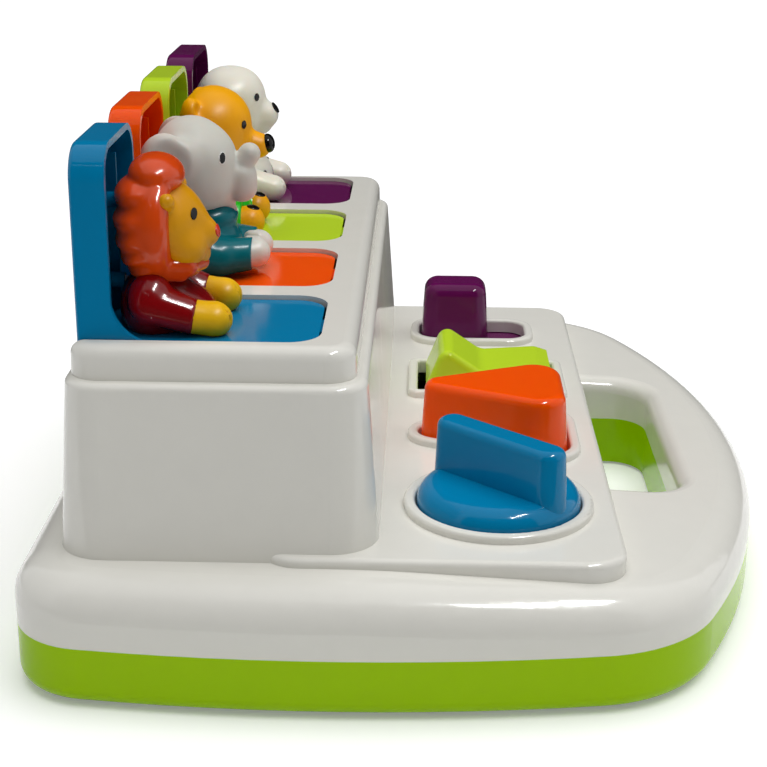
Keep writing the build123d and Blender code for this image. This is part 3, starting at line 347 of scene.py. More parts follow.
def group_node(tree, group, **values):
    """A shader group placed in a material with its own values."""
    return preset(step_node(tree, "ShaderNodeGroup", node_tree=group), **values)


def finish(name, colour, roughness=0.12, rubbed=0.10, bump=0.02, wave=60.0, share=0.1, ior=1.5,
           soften=0.0, tint=None, mottle=0.04, metallic=0.0):
    """bump is its depth in mm, and tint is (second colour, centre in mm, reach in mm, amount)."""
    material = bpy.data.materials.new(name)
    material.use_nodes = True
    tree = material.node_tree
    shader = preset(tree.nodes["Principled BSDF"], Metallic=metallic, IOR=ior)
    if soften:
        preset(shader, Subsurface_Weight=soften, Subsurface_Radius=SOFTEN_RADIUS,
               Subsurface_Scale=SOFTEN_DEPTH)
    second, centre, reach, amount = tint or (colour, (0, 0, 0), 10, 0.0)
    hue = group_node(tree, blush, Colour=colour, Blush=second, Centre=[c * MM for c in centre],
                     Reach=reach * MM, Amount=amount, Mottle=mottle)
    marks = group_node(tree, handling, Roughness=roughness, Rubbed=rubbed)
    skin_of = group_node(tree, moulded_skin, Wave_Size=wave, Grain_Size=GRAIN_SIZE, Grain_Share=share)
    raise_it = preset(step_node(tree, "ShaderNodeBump"), Strength=1.0, Distance=bump * MM)
    wire(tree, (hue, 0, shader, "Base Color"), (marks, "Roughness", shader, "Roughness"),
         (skin_of, "Height", raise_it, "Height"), (raise_it, 0, shader, "Normal"))
    finishes[name] = material
    return material


print("Ready to mix finishes, with", GRAIN_SIZE, "grains to the metre")

# %% Shell, tray, lid and control plastics
SHELL = dict(bump=0.06, wave=30)                                  # large parts wave slowly
POLISHED = dict(roughness=0.10, bump=0.05, wave=40, ior=1.30)     # lids and controls
white = finish("white_shell_plastic", paint(230, 228, 220), roughness=0.13, rubbed=0.10, ior=1.45, **SHELL)
green = finish("green_tray_plastic", paint(162, 206, 0), roughness=0.14, rubbed=0.12, ior=1.18, **SHELL)
blue = finish("blue_plastic", paint(0, 124, 172), **POLISHED)
orange = finish("orange_plastic", paint(255, 84, 0), soften=0.3, **POLISHED)
lime = finish("lime_plastic", paint(190, 222, 44), **POLISHED)
purple = finish("purple_plastic", paint(94, 14, 78), **POLISHED)
natural = finish("natural_acetal", paint(228, 226, 214), roughness=0.35, rubbed=0.1, bump=0.03, soften=0.1)
print("Plastics:", list(finishes))

# %% Rubber and steel
rubber = finish("foot_rubber", paint(34, 34, 34), roughness=0.62, rubbed=0.15, bump=0.12, share=0.7, ior=1.45)
steel = finish("zinc_plated_steel", paint(188, 188, 186), roughness=0.28, rubbed=0.2, bump=0.03, metallic=1.0)
print("Finishes:", len(finishes))

# %% The animals' vinyls: matt skins first, then the lacquered mane and shirts
SKIN = dict(bump=0.06, ior=1.3)
PALE = dict(bump=0.06, soften=0.25)
LACQUER = dict(rubbed=0.15, bump=0.08, wave=120)
PINK_CHEEK = (paint(220, 170, 160), (-29, 57, 122), 12, 0.55)     # round the elephant's trunk
lion_skin = finish("lion_face_vinyl", paint(216, 150, 0), roughness=0.34, mottle=0.06, **SKIN)
lion_paw = finish("lion_paw_vinyl", paint(240, 186, 4), roughness=0.34, mottle=0.06, **SKIN)
bear_vinyl = finish("bear_vinyl", paint(248, 172, 0), roughness=0.38, mottle=0.05, **SKIN)
bear_green = finish("bear_green_vinyl", paint(20, 196, 24), roughness=0.28, bump=0.06, soften=0.05)
grey_vinyl = finish("elephant_vinyl", paint(208, 206, 196), roughness=0.50, ior=1.4, bump=0.08,
                    soften=0.25, tint=PINK_CHEEK)
hand_vinyl = finish("elephant_hand_vinyl", paint(224, 222, 212), roughness=0.42, **PALE)
puppy_vinyl = finish("puppy_vinyl", paint(238, 234, 220), roughness=0.40, **PALE)
mane_vinyl = finish("mane_vinyl", paint(220, 72, 8), roughness=0.18, ior=1.45, rubbed=0.15, bump=0.10,
                    wave=140, mottle=0.12)
red_shirt = finish("red_shirt_vinyl", paint(132, 5, 11), roughness=0.15, ior=1.40, **LACQUER)
teal_shirt = finish("teal_shirt_vinyl", paint(0, 110, 120), roughness=0.24, ior=1.28, rubbed=0.12,
                    bump=0.08, wave=120)
print("Finishes:", len(finishes))

# %% The paints: eyes, noses, mouth line and collar
red_nose = finish("red_nose_paint", paint(206, 48, 22), roughness=0.25, bump=0.02)
brown_line = finish("mouth_line_paint", paint(150, 86, 10), roughness=0.4, bump=0.02)
black_gloss = finish("black_gloss_paint", paint(7, 6, 9), roughness=0.14, bump=0.01, ior=1.32)
eye_ring = finish("pale_eye_ring_paint", paint(232, 230, 226), roughness=0.45, bump=0.02)
red_band = finish("red_collar_paint", paint(190, 60, 60), roughness=0.3, bump=0.02)
print("Finishes:", len(finishes))

# %% [markdown]
# ## Dress the CAD nodes
# Every hard part keeps its own mesh and only gets a finish. A list names the moulded parts; all
# that it leaves out, pins, screws and springs, is zinc plated steel.

# %% Put the finishes on the CAD nodes
LID = {"blue": blue, "orange": orange, "green": lime, "purple": purple}
look = {"base_tray": green, "top_shell": white, "deck_frame": white, "rubber_feet": rubber,
        "dial_knob": blue, "button_cap": orange, "rocker": lime, "slide_knob": purple,
        "slide_plate": purple, "dial_crank": natural, "slide_keeper": natural}
for colour, material in LID.items():
    look["flap_" + colour] = material
for name in nodes:
    if name.startswith("bar_") and not name.startswith("bar_spring"):
        look[name] = natural
for name, piece in nodes.items():
    piece.data.materials.clear()
    piece.data.materials.append(look.get(name, steel))
print("Dressed nodes:", len(nodes))

# %% [markdown]
# ## Sculpting tools for the four animals
# The real animals are rotocast vinyl: soft, rounded forms that run into each other with small
# fillets, and crisp paint lines. They could be modelled with subdivision surfaces, metaballs or
# sculpting. Here each form is a distance rule (a ball, an egg, a tapered rod), rules are melted
# together with a small radius, and the surface where the distance is zero is turned into a mesh.
# That gives true fillets, easy mirror symmetry and clean colour borders, all from a few numbers.

# %% Distance rules: each takes points (n, 3) in millimetres and gives n distances
def ball(p, centre, radius):
    """A ball."""
    return np.linalg.norm(p - np.array(centre), axis=1) - radius


def turned(p, centre, about_x=0.0, about_y=0.0, about_z=0.0):
    """Points as seen from a form that stands at centre and is turned by these angles."""
    turn = Euler([math.radians(a) for a in (about_x, about_y, about_z)], "XYZ").to_matrix()
    return (p - np.array(centre)) @ np.array(turn)


def egg(p, centre, radii, **turn):
    """A ball stretched to three radii, and turned."""
    q = turned(p, centre, **turn)
    r = np.array(radii)
    near = np.linalg.norm(q / r, axis=1)
    steep = np.linalg.norm(q / r ** 2, axis=1)
    return near * (near - 1) / np.maximum(steep, 1e-9)


def rod(p, start, end, r_start, r_end):
    """A round rod from start to end that tapers between two radii."""
    a, b = np.array(start), np.array(end)
    along = np.clip((p - a) @ (b - a) / ((b - a) @ (b - a)), 0, 1)
    return np.linalg.norm(p - a - along[:, None] * (b - a), axis=1) - (r_start + along * (r_end - r_start))


def ring(p, centre, radii, thick):
    """A ring round the Y axis: radii are its half width in X and its half height in Z."""
    q = p - np.array(centre)
    flat = np.stack([q[:, 0] / radii[0], q[:, 2] / radii[1]], axis=1)
    size = np.linalg.norm(flat, axis=1)
    reach = (size - 1) * (radii[0] * radii[1]) ** 0.5
    return np.hypot(reach, q[:, 1]) - thick


# %% Ways to join and cut the forms
def melt(*forms, radius=1.5):
    """Joins forms with a fillet of about this radius."""
    whole = forms[0]
    for form in forms[1:]:
        h = np.clip(0.5 + 0.5 * (form - whole) / radius, 0, 1)
        whole = form + (whole - form) * h - radius * h * (1 - h)
    return whole


def carve(whole, cut, radius=0.6):
    """Takes cut out of whole with a softened edge."""
    return -melt(-whole, cut, radius=radius)


def shared(*forms):
    """What all the forms have in common."""
    return np.maximum.reduce(forms)


def mirrored(p):
    """Both sides of the animal measured on its +X side."""
    q = p.copy()
    q[:, 0] = np.abs(q[:, 0])
    return q


# %% From a distance rule to a mesh
def skin(rule, low, high, step):
    """Vertices (mm) and quads of the surface where rule(points) is zero, inside the box low..high."""
    axes = [np.arange(l, h + step, step) for l, h in zip(low, high)]
    grid = np.stack(np.meshgrid(*axes, indexing="ij"), -1)
    d = rule(grid.reshape(-1, 3)).reshape(grid.shape[:3])
    for a in range(3):
        ends = [slice(None)] * 3
        for side in (0, -1):
            ends[a] = side
            d[tuple(ends)] = np.maximum(d[tuple(ends)], 0.05 * step)
    cells = tuple(n - 1 for n in d.shape)
    total, hits, walls = np.zeros((*cells, 3)), np.zeros(cells), []
    for a in range(3):
        b, c = (a + 1) % 3, (a + 2) % 3
        d0 = np.moveaxis(d, (a, b, c), (0, 1, 2))
        first, second = d0[:-1], d0[1:]
        cross = (first < 0) != (second < 0)
        i, j, k = np.nonzero(cross)
        t = first[cross] / (first[cross] - second[cross])
        spot = np.zeros((len(i), 3))
        spot[:, a], spot[:, b], spot[:, c] = i + t, j, k
        for dj in (1, 0):
            for dk in (1, 0):
                jj, kk = j - dj, k - dk
                ok = (jj >= 0) & (kk >= 0) & (jj < cells[b]) & (kk < cells[c])
                where = [None] * 3
                where[a], where[b], where[c] = i[ok], jj[ok], kk[ok]
                np.add.at(total, tuple(where), spot[ok])
                np.add.at(hits, tuple(where), 1)
        inner = (j > 0) & (k > 0) & (j < cells[b]) & (k < cells[c])
        i, j, k, outward = i[inner], j[inner], k[inner], first[cross][inner] < 0
        corners = []
        for dj, dk in ((1, 1), (0, 1), (0, 0), (1, 0)):
            where = [None] * 3
            where[a], where[b], where[c] = i, j - dj, k - dk
            corners.append(np.stack(where, 1))
        quad = np.stack(corners, 1)
        quad[~outward] = quad[~outward][:, ::-1]
        walls.append(quad)
    walls = np.concatenate(walls)
    used = hits > 0
    number = -np.ones(cells, int)
    number[used] = np.arange(used.sum())
    verts = np.array(low) + step * total[used] / hits[used][:, None]
    quads = number[walls[..., 0], walls[..., 1], walls[..., 2]]
    return settle(rule, verts, step), quads


def settle(rule, verts, step, rounds=3):
    """Moves the vertices onto the surface along its slope."""
    h = 0.05 * step
    for _ in range(rounds):
        d = rule(verts)
        slope = np.stack([rule(verts + h * e) - d for e in np.eye(3)], 1) / h
        length = np.maximum((slope ** 2).sum(1), 0.05)
        move = -slope * (d / length)[:, None]
        size = np.linalg.norm(move, axis=1, keepdims=True)
        verts = verts + move * np.minimum(1, 0.35 * step / np.maximum(size, 1e-9))
    return verts


def solid(name, verts, quads, station, material):
    """A shaded mesh object: x is measured from the animal's own station."""
    mesh = bpy.data.meshes.new(name)
    place = (np.array(verts) + np.array([station, 0, 0])) * MM
    mesh.from_pydata(place.tolist(), [], np.asarray(quads).tolist())
    mesh.update()
    mesh.polygons.foreach_set("use_smooth", [True] * len(mesh.polygons))
    mesh.materials.append(material)
    piece = bpy.data.objects.new(name, mesh)
    bpy.context.scene.collection.objects.link(piece)
    return piece


def sculpt(name, rule, low, high, station, material, step=0.75):
    """One closed vinyl piece made from a distance rule."""
    verts, quads = skin(rule, low, high, step)
    piece = solid(name, verts, quads, station, material)
    made.setdefault(station, []).append(piece)
    print(f"  {name}: {len(quads)} quads, reaches Y {verts[:, 1].min():.1f} and Z {verts[:, 2].max():.1f}")
    return piece


made = {}
HINGE, BARREL_ROOM = (88.7, 95.0), 6.3     # the lids' hinge line, Y and Z, and the room round it, mm
TRAY_FLOOR, TRAY_BACK = 99.62, 93.65       # the lid's floor, Z, and its back wall, Y, mm


def seat(p, whole):
    """Trims a figure to the tray it sits in: flat floor, flat back, and room for the hinge barrel."""
    barrel = BARREL_ROOM - np.hypot(p[:, 1] - HINGE[0], p[:, 2] - HINGE[1])
    return shared(whole, TRAY_FLOOR - p[:, 2], p[:, 1] - TRAY_BACK, barrel)


print("A figure sits on Z", TRAY_FLOOR, "and leans on Y", TRAY_BACK)


# %% [markdown]
# ## The lion
# A crouching body in a glossy dark red shirt, two mitt-like paws flat on the tray floor, a
# golden face that slopes down to the nose, and a mane in thick rounded tufts: a bun on top, a
# stack of tufts down the back, and a ruff under the chin. Every tuft is an egg or a short rod,
# melted with a radius that is small at the back, so grooves stay, and large next to the face.

# %% Lion: body, sleeves and paws
def lion_shirt(p):
    q = mirrored(p)
    belly = egg(q, (0, 71, 103), (12.5, 12.5, 8.5))
    trunk = melt(egg(q, (0, 76.4, 105.5), (16.4, 10.4, 12.0)), belly, radius=4)
    shoulder = egg(q, (12.2, 76, 110.6), (6.0, 6.4, 6.8))
    sleeve = rod(q, (13.4, 76, 109.0), (13.4, 64.4, 105.2), 6.2, 5.3)
    whole = melt(trunk, shoulder, radius=2.0)
    whole = melt(whole, sleeve, radius=1.2)
    cuff = (q - np.array((13.4, 63.2, 105.0))) @ np.array((0.0, -0.97, -0.18))
    return seat(p, shared(whole, np.where(q[:, 0] > 7.5, cuff, -1.0)))


def lion_paws(p):
    q = mirrored(p)
    arm = rod(q, (13.3, 66, 105.2), (12.7, 58.4, 104.2), 5.0, 5.0)
    paw = melt(arm, ball(q, (12.5, 57.3, 104.0), 4.75), radius=1.5)
    for side in (-1.6, 1.6):
        paw = carve(paw, rod(q, (12.5 + side, 52.0, 101), (12.4 + side, 54.6, 108.2), 0.32, 0.32), radius=0.5)
    return seat(p, paw)


# %% Lion: face
def lion_head(p):
    q = mirrored(p)
    skull = egg(q, (0, 72.6, 129.6), (13.2, 10.8, 11.6))
    brow = rod(q, (0, 70.6, 136.0), (0, 63.2, 127.2), 4.5, 4.6)
    cheek = egg(q, (5.2, 66.4, 123.4), (6.2, 6.0, 5.6))
    nose = ball(q, (0, 60.6, 126.2), 3.2)
    chin = egg(q, (0, 64.4, 120.4), (4.6, 4.4, 3.7))
    whole = melt(skull, brow, radius=4)
    whole = melt(whole, cheek, radius=3)
    whole = melt(whole, nose, radius=2.5)
    whole = melt(whole, chin, radius=1.6)
    ear = carve(ball(q, (12.3, 70.4, 138.2), 2.3), ball(q, (15.6, 67.6, 138.8), 1.6), radius=1.2)
    return melt(whole, ear, radius=3.0)


def lion_nose(p):
    return shared(lion_head(p) - 0.25, egg(p, (0, 57.6, 127.2), (2.5, 1.9, 1.9)))


def lion_mouth(p):
    q = mirrored(p)
    line = melt(rod(q, (0, 60.0, 122.2), (4.4, 62.2, 121.8), 0.34, 0.34),
                rod(q, (4.4, 62.2, 121.8), (8.4, 65.6, 123.8), 0.34, 0.26), radius=0.3)
    return shared(lion_head(p) - 0.10, line - 0.25)


def lion_eyes(p):
    q = mirrored(p)
    return shared(lion_head(p) - 0.22, egg(q, (6.4, 63.6, 133.5), (3.6, 0.85, 1.65), about_x=-4))


# %% Lion: mane
TUFTS = ((79.8, 138.8, 13.6, 7.4, 5.3, -10), (80.4, 132.2, 15.6, 7.4, 4.7, -10),
         (80.0, 126.6, 16.0, 7.2, 4.2, -12), (79.0, 121.7, 15.4, 6.8, 3.9, -14),
         (77.4, 117.6, 13.6, 6.2, 3.4, -14))     # Y, Z, half width, depth and height, and tip


def lion_mane(p):
    q = mirrored(p)
    band = ring(q, (0, 73.8, 129.2), (13.2, 13.6), 3.7)
    back = egg(q, (0, 78.0, 128.4), (15.6, 8.9, 15.2))
    whole = melt(band, back, radius=4)
    bun = egg(q, (0, 74.9, 143.6), (10.8, 8.1, 6.2), about_x=4)
    # thick tufts lie one under the other down the back, each tipped up towards its end
    for y, z, wide, deep, tall, tip in TUFTS:
        whole = melt(whole, egg(q, (0, y, z), (wide, deep, tall), about_x=tip), radius=1.4)
    whole = melt(whole, bun, radius=0.8)
    # the ruff: two folds that run round under the chin
    for low, out, thick in ((118.4, 8.6, 3.1), (116.4, 6.4, 2.8)):
        fold = rod(q, (10.2, 76.5, low + 0.4), (7.4, 74.4 - out, low), thick, thick - 0.4)
        front = rod(q, (7.4, 74.4 - out, low), (0, 71.6 - out, low - 0.6), thick - 0.4, thick - 0.6)
        whole = melt(whole, melt(fold, front, radius=1.2), radius=0.8)
    return seat(p, whole)


# %% [markdown]
# ## The elephant
# Matt, pale grey vinyl: a big plain head, two cupped ears, a fat trunk that curls up in front of
# the face, a pointed lower lip, and a teal shirt whose sleeves reach straight out.

# %% Elephant
def elephant_head(p):
    q = mirrored(p)
    crown = egg(q, (0, 73.2, 137.0), (14.6, 12.6, 13.2))
    skull = melt(crown, egg(q, (0, 69.5, 129.0), (12.4, 10.6, 9.6)), radius=7)
    brow = egg(q, (0, 66.0, 137.0), (10.0, 6.4, 7.6))
    whole = melt(skull, brow, radius=4)
    lip = rod(q, (0, 65.4, 126.2), (0, 60.2, 120.0), 4.8, 1.5)
    whole = melt(whole, lip, radius=3)
    ear = egg(q, (15.6, 79.6, 138.4), (3.4, 7.8, 9.0), about_z=-20)
    ear = melt(ear, rod(q, (12.0, 75.0, 139.0), (15.6, 78.6, 139.0), 6.0, 3.2), radius=3)
    cup = egg(q, (19.0, 77.2, 138.6), (3.0, 5.2, 6.2), about_z=-20)
    whole = melt(whole, carve(ear, cup, radius=2.4), radius=2.6)
    trunk = rod(q, (0, 57.2, 131.4), (0, 57.0, 127.4), 4.6, 4.9)
    root = rod(q, (0, 62.0, 132.0), (0, 57.4, 130.8), 5.6, 4.6)
    curl = rod(q, (0, 56.8, 135.0), (0, 54.4, 138.3), 3.6, 3.5)
    return melt(whole, melt(melt(root, trunk, radius=2.0), curl, radius=0.7), radius=1.2)


def elephant_eyes(p):
    q = mirrored(p)
    return shared(elephant_head(p) - 0.2, egg(q, (11.2, 61.8, 138.8), (3.6, 1.05, 2.1)))


def elephant_eye_rings(p):
    q = mirrored(p)
    return shared(elephant_head(p) - 0.1, egg(q, (11.2, 61.8, 138.8), (3.8, 1.4, 2.6)))


def elephant_shirt(p):
    q = mirrored(p)
    belly = egg(q, (0, 68, 108), (12.0, 11.0, 10.5))
    trunk = melt(egg(q, (0, 76.5, 108), (17.4, 12.5, 13.4)), belly, radius=4)
    neck = egg(q, (0, 67.5, 118), (9.0, 9.0, 5.0))
    sleeve = melt(rod(q, (12.6, 76, 109.5), (10.6, 63.5, 106.8), 7.0, 6.2),
                  rod(q, (10.6, 63.5, 106.8), (5.9, 51.0, 107.0), 6.2, 5.1), radius=1)
    whole = melt(melt(trunk, neck, radius=3), sleeve, radius=1.2)
    return seat(p, shared(whole, 53.4 - q[:, 1]))


def elephant_hands(p):
    q = mirrored(p)
    palm = rod(q, (7.0, 57.0, 106.6), (5.2, 52.6, 107.0), 4.7, 4.9)
    thumb = rod(q, (3.4, 55.0, 110.4), (3.0, 52.2, 110.4), 1.6, 1.4)
    return seat(p, melt(palm, thumb, radius=1.4))


# %% [markdown]
# ## The bear
# A warm yellow bear with round ears, a short cylindrical muzzle with a big nose, a bright green
# top, and mitts with a dark pad.

# %% Bear
def bear_head(p):
    q = mirrored(p)
    crown = egg(q, (0, 73.4, 137.2), (14.6, 12.2, 13.6))
    whole = melt(crown, egg(q, (0, 72.0, 128.6), (13.0, 10.4, 8.8)), radius=6)
    forehead = egg(q, (0, 68.6, 137.8), (10.6, 8.0, 9.4))
    whole = melt(whole, forehead, radius=4)
    ear = egg(q, (12.2, 79.4, 143.4), (4.6, 3.4, 5.0), about_z=-20)
    ear = carve(ear, ball(q, (14.4, 75.0, 144.4), 2.8), radius=1.6)
    muzzle = rod(q, (0, 66.0, 131.6), (0, 57.4, 129.8), 6.0, 4.5)
    return melt(melt(whole, ear, radius=1.6), muzzle, radius=1.8)


def bear_nose(p):
    return egg(p, (0, 54.0, 130.6), (3.7, 2.4, 3.4), about_x=-10)


def bear_eyes(p):
    q = mirrored(p)
    return shared(bear_head(p) - 0.22, egg(q, (9.4, 61.2, 138.6), (3.4, 1.2, 2.1)))


def bear_shirt(p):
    q = mirrored(p)
    trunk = melt(egg(q, (0, 77, 108), (17.0, 12.0, 13.6)), egg(q, (0, 70, 105), (12.0, 10.0, 9.0)), radius=4)
    sleeve = rod(q, (13.0, 76, 109.5), (11.0, 62.0, 105.2), 6.6, 5.6)
    whole = melt(trunk, sleeve, radius=1.5)
    cuff = 62.6 - q[:, 1]
    return seat(p, shared(whole, np.where(q[:, 0] > 7.5, cuff, -1.0)))


def bear_paws(p):
    q = mirrored(p)
    arm = rod(q, (11.4, 66, 105.0), (10.8, 60.0, 104.6), 5.0, 5.3)
    return seat(p, melt(arm, egg(q, (10.6, 59.6, 104.9), (5.4, 4.6, 5.4)), radius=1))


def bear_pads(p):
    q = mirrored(p)
    return shared(bear_paws(p) - 0.2, egg(q, (10.6, 58.4, 110.4), (3.0, 2.6, 2.2)))


# %% [markdown]
# ## The puppy
# Cream white with black oval spots, a round head, a soft muzzle with a tilted black nose, drop
# ears that lie close to the head, and a thin red collar.

# %% Puppy
def puppy_head(p):
    q = mirrored(p)
    crown = egg(q, (0, 75.0, 136.4), (14.8, 12.6, 13.0))
    whole = melt(crown, egg(q, (0, 71.5, 129.5), (12.6, 10.6, 9.0)), radius=6)
    whole = melt(whole, egg(q, (0, 69.6, 138.0), (11.4, 8.6, 9.8)), radius=4)
    muzzle = egg(q, (0, 61.6, 130.6), (6.4, 6.2, 5.6), about_x=-12)
    jaw = egg(q, (0, 63.0, 126.6), (5.4, 4.8, 3.6))
    whole = melt(melt(whole, muzzle, radius=2.4), jaw, radius=1.0)
    ear = egg(q, (14.2, 79.6, 135.0), (2.2, 4.6, 8.4), about_x=14, about_z=-12)
    return melt(whole, ear, radius=0.8)


def puppy_nose(p):
    return shared(puppy_head(p) - 0.45, egg(p, (0, 56.4, 133.6), (2.9, 1.9, 2.3), about_x=-32))


def puppy_eyes(p):
    q = mirrored(p)
    return shared(puppy_head(p) - 0.22, egg(q, (10.4, 62.6, 139.0), (3.6, 1.1, 1.9)))


def puppy_body(p):
    q = mirrored(p)
    trunk = melt(egg(q, (0, 77, 108), (16.8, 12.4, 13.6)), egg(q, (0, 68, 107), (11.6, 10.0, 10.4)), radius=4)
    arm = rod(q, (12.8, 76, 109.5), (13.2, 60.5, 105.4), 6.4, 5.2)
    paw = egg(q, (13.2, 57.0, 104.6), (5.3, 5.3, 5.0))
    whole = melt(melt(trunk, arm, radius=1.5), paw, radius=1.2)
    for side in (-1.7, 1.7):
        whole = carve(whole, rod(q, (13.2 + side, 51.4, 101), (13.1 + side, 53.6, 108), 0.3, 0.3), radius=0.5)
    return seat(p, whole)


# %% Puppy: spots and collar
SPOTS = (((-13.0, 66.0, 112.4), (3.4, 1.6, 3.2), 20), ((-9.0, 60.2, 109.0), (3.0, 1.3, 2.6), 25),
         ((-17.6, 74.0, 108.0), (2.4, 2.3, 3.0), 0), ((12.4, 62.4, 111.4), (3.2, 1.7, 2.8), 0),
         ((17.6, 72.0, 107.0), (2.4, 2.2, 2.6), 0), ((2.5, 59.0, 108.0), (2.0, 2.4, 2.4), 0),
         ((-4.5, 58.5, 104.0), (1.6, 2.2, 1.7), 0))     # centre, radii and turn about X


def puppy_spots(p):
    spots = np.minimum.reduce([egg(p, centre, radii, about_x=turn) for centre, radii, turn in SPOTS])
    return shared(puppy_body(p) - 0.15, spots)


def ring_band(p):
    """A thin tilted slab: what a collar keeps of the neck."""
    q = turned(p, (0, 72, 120.4), about_x=-8)
    return np.abs(q[:, 2]) - 0.8


def puppy_collar(p):
    return shared(melt(puppy_body(p), puppy_head(p), radius=2) - 0.5, ring_band(p))


print("The puppy has", len(SPOTS), "spots")

# %% [markdown]
# ## Cast the animals
# Each rule is meshed on a grid: about 0.75 mm for the bodies and finer for painted eyes and
# noses. Paint is made as a thin solid that stands a fraction of a millimetre proud of the skin
# below it, so its border is crisp from every side.

# %% The lion
X = STATIONS["blue"]
BODY = ((-23, 48, 97), (23, 94, 125))
HEAD = ((-21, 47, 110), (21, 94, 154))
sculpt("lion_shirt", lion_shirt, *BODY, X, red_shirt)
sculpt("lion_paws", lion_paws, *BODY, X, lion_paw, 0.6)
sculpt("lion_head", lion_head, *HEAD, X, lion_skin, 0.7)
sculpt("lion_mane", lion_mane, *HEAD, X, mane_vinyl, 0.6)
sculpt("lion_nose", lion_nose, (-4, 54, 124), (4, 61, 130), X, red_nose, 0.3)
sculpt("lion_mouth", lion_mouth, (-11, 56, 118), (11, 69, 126), X, brown_line, 0.22)
sculpt("lion_eyes", lion_eyes, (-12, 60, 130), (12, 68, 137), X, black_gloss, 0.25)

# %% The elephant
X = STATIONS["orange"]
sculpt("elephant_shirt", elephant_shirt, (-23, 46, 97), (23, 94, 126), X, teal_shirt)
sculpt("elephant_hands", elephant_hands, (-21, 45, 101), (21, 60, 118), X, hand_vinyl, 0.6)
sculpt("elephant_head", elephant_head, (-24, 47, 114), (24, 94, 154), X, grey_vinyl, 0.7)
sculpt("elephant_eye_rings", elephant_eye_rings, (-16, 58, 135), (16, 68, 143), X, eye_ring, 0.3)
sculpt("elephant_eyes", elephant_eyes, (-16, 58, 135), (16, 68, 143), X, black_gloss, 0.22)

# %% The bear
X = STATIONS["green"]
sculpt("bear_shirt", bear_shirt, (-23, 48, 97), (23, 94, 126), X, bear_green)
sculpt("bear_paws", bear_paws, (-21, 50, 97), (21, 72, 118), X, bear_vinyl, 0.6)
sculpt("bear_head", bear_head, (-21, 47, 114), (21, 94, 154), X, bear_vinyl, 0.7)
sculpt("bear_nose", bear_nose, (-5, 50, 126), (5, 58, 136), X, black_gloss, 0.3)
sculpt("bear_eyes", bear_eyes, (-13, 58, 133), (13, 68, 142), X, black_gloss, 0.22)
sculpt("bear_pads", bear_pads, (-18, 53, 107), (18, 64, 114), X, black_gloss, 0.3)

# %% The puppy
X = STATIONS["purple"]
sculpt("puppy_body", puppy_body, (-23, 48, 97), (23, 94, 126), X, puppy_vinyl)
sculpt("puppy_head", puppy_head, (-21, 47, 114), (21, 94, 154), X, puppy_vinyl, 0.7)
sculpt("puppy_nose", puppy_nose, (-5, 51, 130), (5, 60, 138), X, black_gloss, 0.25)
sculpt("puppy_eyes", puppy_eyes, (-15, 59, 134), (15, 69, 142), X, black_gloss, 0.22)
sculpt("puppy_spots", puppy_spots, (-21, 54, 99), (21, 80, 118), X, black_gloss, 0.3)
sculpt("puppy_collar", puppy_collar, (-18, 55, 114), (18, 90, 126), X, red_band, 0.4)

# %% [markdown]
# ## Ribs and sleeves inside the lids
# Every lid has the same inside: two upright ribs that stiffen its back, and a short sleeve round
# each of the two screws that hold the animal. Copying them by hand four times would do, but one node
# tree makes them from a few named sizes, and each lid gets its own plain mesh in its own colour.

# %% The sizes of a lid's inside, in metres
INSIDE_SIZES = {"Rib Spacing": 0.017, "Rib Height": 0.048, "Rib Depth": 0.0056, "Rib Width": 0.0014,
                "Sleeve Radius": 0.0022, "Sleeve Length": 0.0084, "Sleeve Spacing": 0.024}
SLEEVE_FORWARD, SLEEVE_SIDES = -0.0014, 40
INSIDE_AT = (90.9, 124.0)     # middle of the ribs and of the two screws, Y and Z, mm
print("Sizes:", INSIDE_SIZES)


# %% A node tree for the inside of a lid
def pair(tree, given, spacing, axis):
    """Two points, this far apart along an axis and centred on it."""
    line = preset(step_node(tree, "GeometryNodeMeshLine"), Count=2)
    start, step = step_node(tree, "ShaderNodeCombineXYZ"), step_node(tree, "ShaderNodeCombineXYZ")
    half = step_node(tree, "ShaderNodeMath", operation="MULTIPLY")
    half.inputs[1].default_value = -0.5
    wire(tree, (given, spacing, half, 0), (half, 0, start, axis), (given, spacing, step, axis),
         (start, 0, line, "Start Location"), (step, 0, line, "Offset"))
    return line


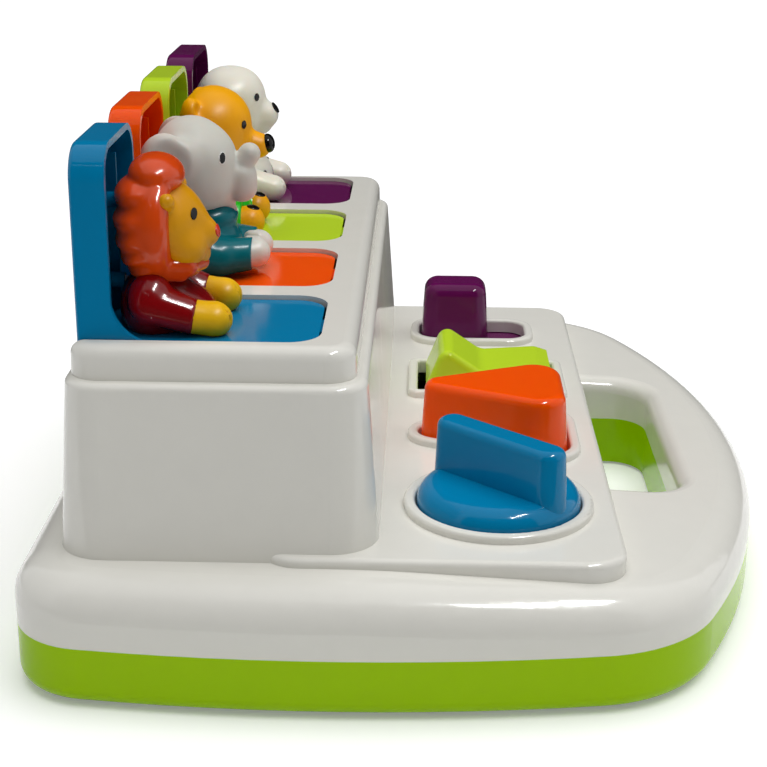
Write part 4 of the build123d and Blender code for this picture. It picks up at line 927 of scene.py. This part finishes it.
def lid_inside_tree():
    tree = bpy.data.node_groups.new("lid_inside", "GeometryNodeTree")
    for label, value in INSIDE_SIZES.items():
        socket = tree.interface.new_socket(label, in_out="INPUT", socket_type="NodeSocketFloat")
        socket.default_value = value
    tree.interface.new_socket("Material", in_out="INPUT", socket_type="NodeSocketMaterial")
    tree.interface.new_socket("Geometry", in_out="OUTPUT", socket_type="NodeSocketGeometry")
    given, gives = step_node(tree, "NodeGroupInput"), step_node(tree, "NodeGroupOutput")
    rib, rib_size = step_node(tree, "GeometryNodeMeshCube"), step_node(tree, "ShaderNodeCombineXYZ")
    ribs = step_node(tree, "GeometryNodeInstanceOnPoints")
    wire(tree, (given, "Rib Width", rib_size, 0), (given, "Rib Depth", rib_size, 1),
         (given, "Rib Height", rib_size, 2), (rib_size, 0, rib, "Size"),
         (pair(tree, given, "Rib Spacing", "X"), 0, ribs, "Points"), (rib, "Mesh", ribs, "Instance"))
    sleeve = preset(step_node(tree, "GeometryNodeMeshCylinder"), Vertices=SLEEVE_SIDES)
    sleeves = preset(step_node(tree, "GeometryNodeInstanceOnPoints"), Rotation=(math.radians(90), 0, 0))
    forward = preset(step_node(tree, "GeometryNodeTransform"), Translation=(0, SLEEVE_FORWARD, 0))
    wire(tree, (given, "Sleeve Radius", sleeve, "Radius"), (given, "Sleeve Length", sleeve, "Depth"),
         (pair(tree, given, "Sleeve Spacing", "Z"), 0, sleeves, "Points"),
         (sleeve, "Mesh", sleeves, "Instance"), (sleeves, 0, forward, "Geometry"))
    joined = step_node(tree, "GeometryNodeJoinGeometry")
    real = step_node(tree, "GeometryNodeRealizeInstances")
    dress = step_node(tree, "GeometryNodeSetMaterial")
    wire(tree, (ribs, 0, joined, 0), (forward, 0, joined, 0), (joined, 0, real, 0),
         (real, 0, dress, "Geometry"), (given, "Material", dress, "Material"), (dress, 0, gives, 0))
    return tree


lid_inside = lid_inside_tree()
sockets = {item.name: item.identifier for item in lid_inside.interface.items_tree if item.in_out == "INPUT"}
print("Tree inputs:", list(sockets))


# %% Make the inside of each lid
def grown_mesh(name, material, place):
    """The tree's result as a plain mesh, moved to place (mm)."""
    base = bpy.data.objects.new("inside_seed", bpy.data.meshes.new("inside_seed"))
    scene.collection.objects.link(base)
    grow = base.modifiers.new("inside", "NODES")
    grow.node_group = lid_inside
    grow[sockets["Material"]] = material
    bpy.context.view_layer.update()
    ready = base.evaluated_get(bpy.context.evaluated_depsgraph_get())
    mesh = bpy.data.meshes.new_from_object(ready)
    mesh.name = name
    mesh.transform(Matrix.Translation(Vector(place) * MM))
    base.modifiers.clear()
    bpy.data.objects.remove(base)
    return mesh


for colour, x in STATIONS.items():
    name = f"lid_inside_{colour}"
    inside = bpy.data.objects.new(name, grown_mesh(name, LID[colour], (x, *INSIDE_AT)))
    scene.collection.objects.link(inside)
    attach(inside, f"flap_{colour}_body")
    print(name, len(inside.data.polygons), "faces")

# %% [markdown]
# ## The animals join the toy
# An animal is screwed to its lid, so all its pieces ride on the lid's body. Together they stand for
# the plain CAD figure, which stays hidden and is only used for weight and contact.

# %% Each animal rides on its lid and stands for the plain CAD figure
for colour, animal in ANIMALS.items():
    parts = made[STATIONS[colour]]
    for piece in parts:
        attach(piece, f"flap_{colour}_body")
    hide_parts(f"figure_{animal}")
    print(animal, "has", len(parts), "pieces")
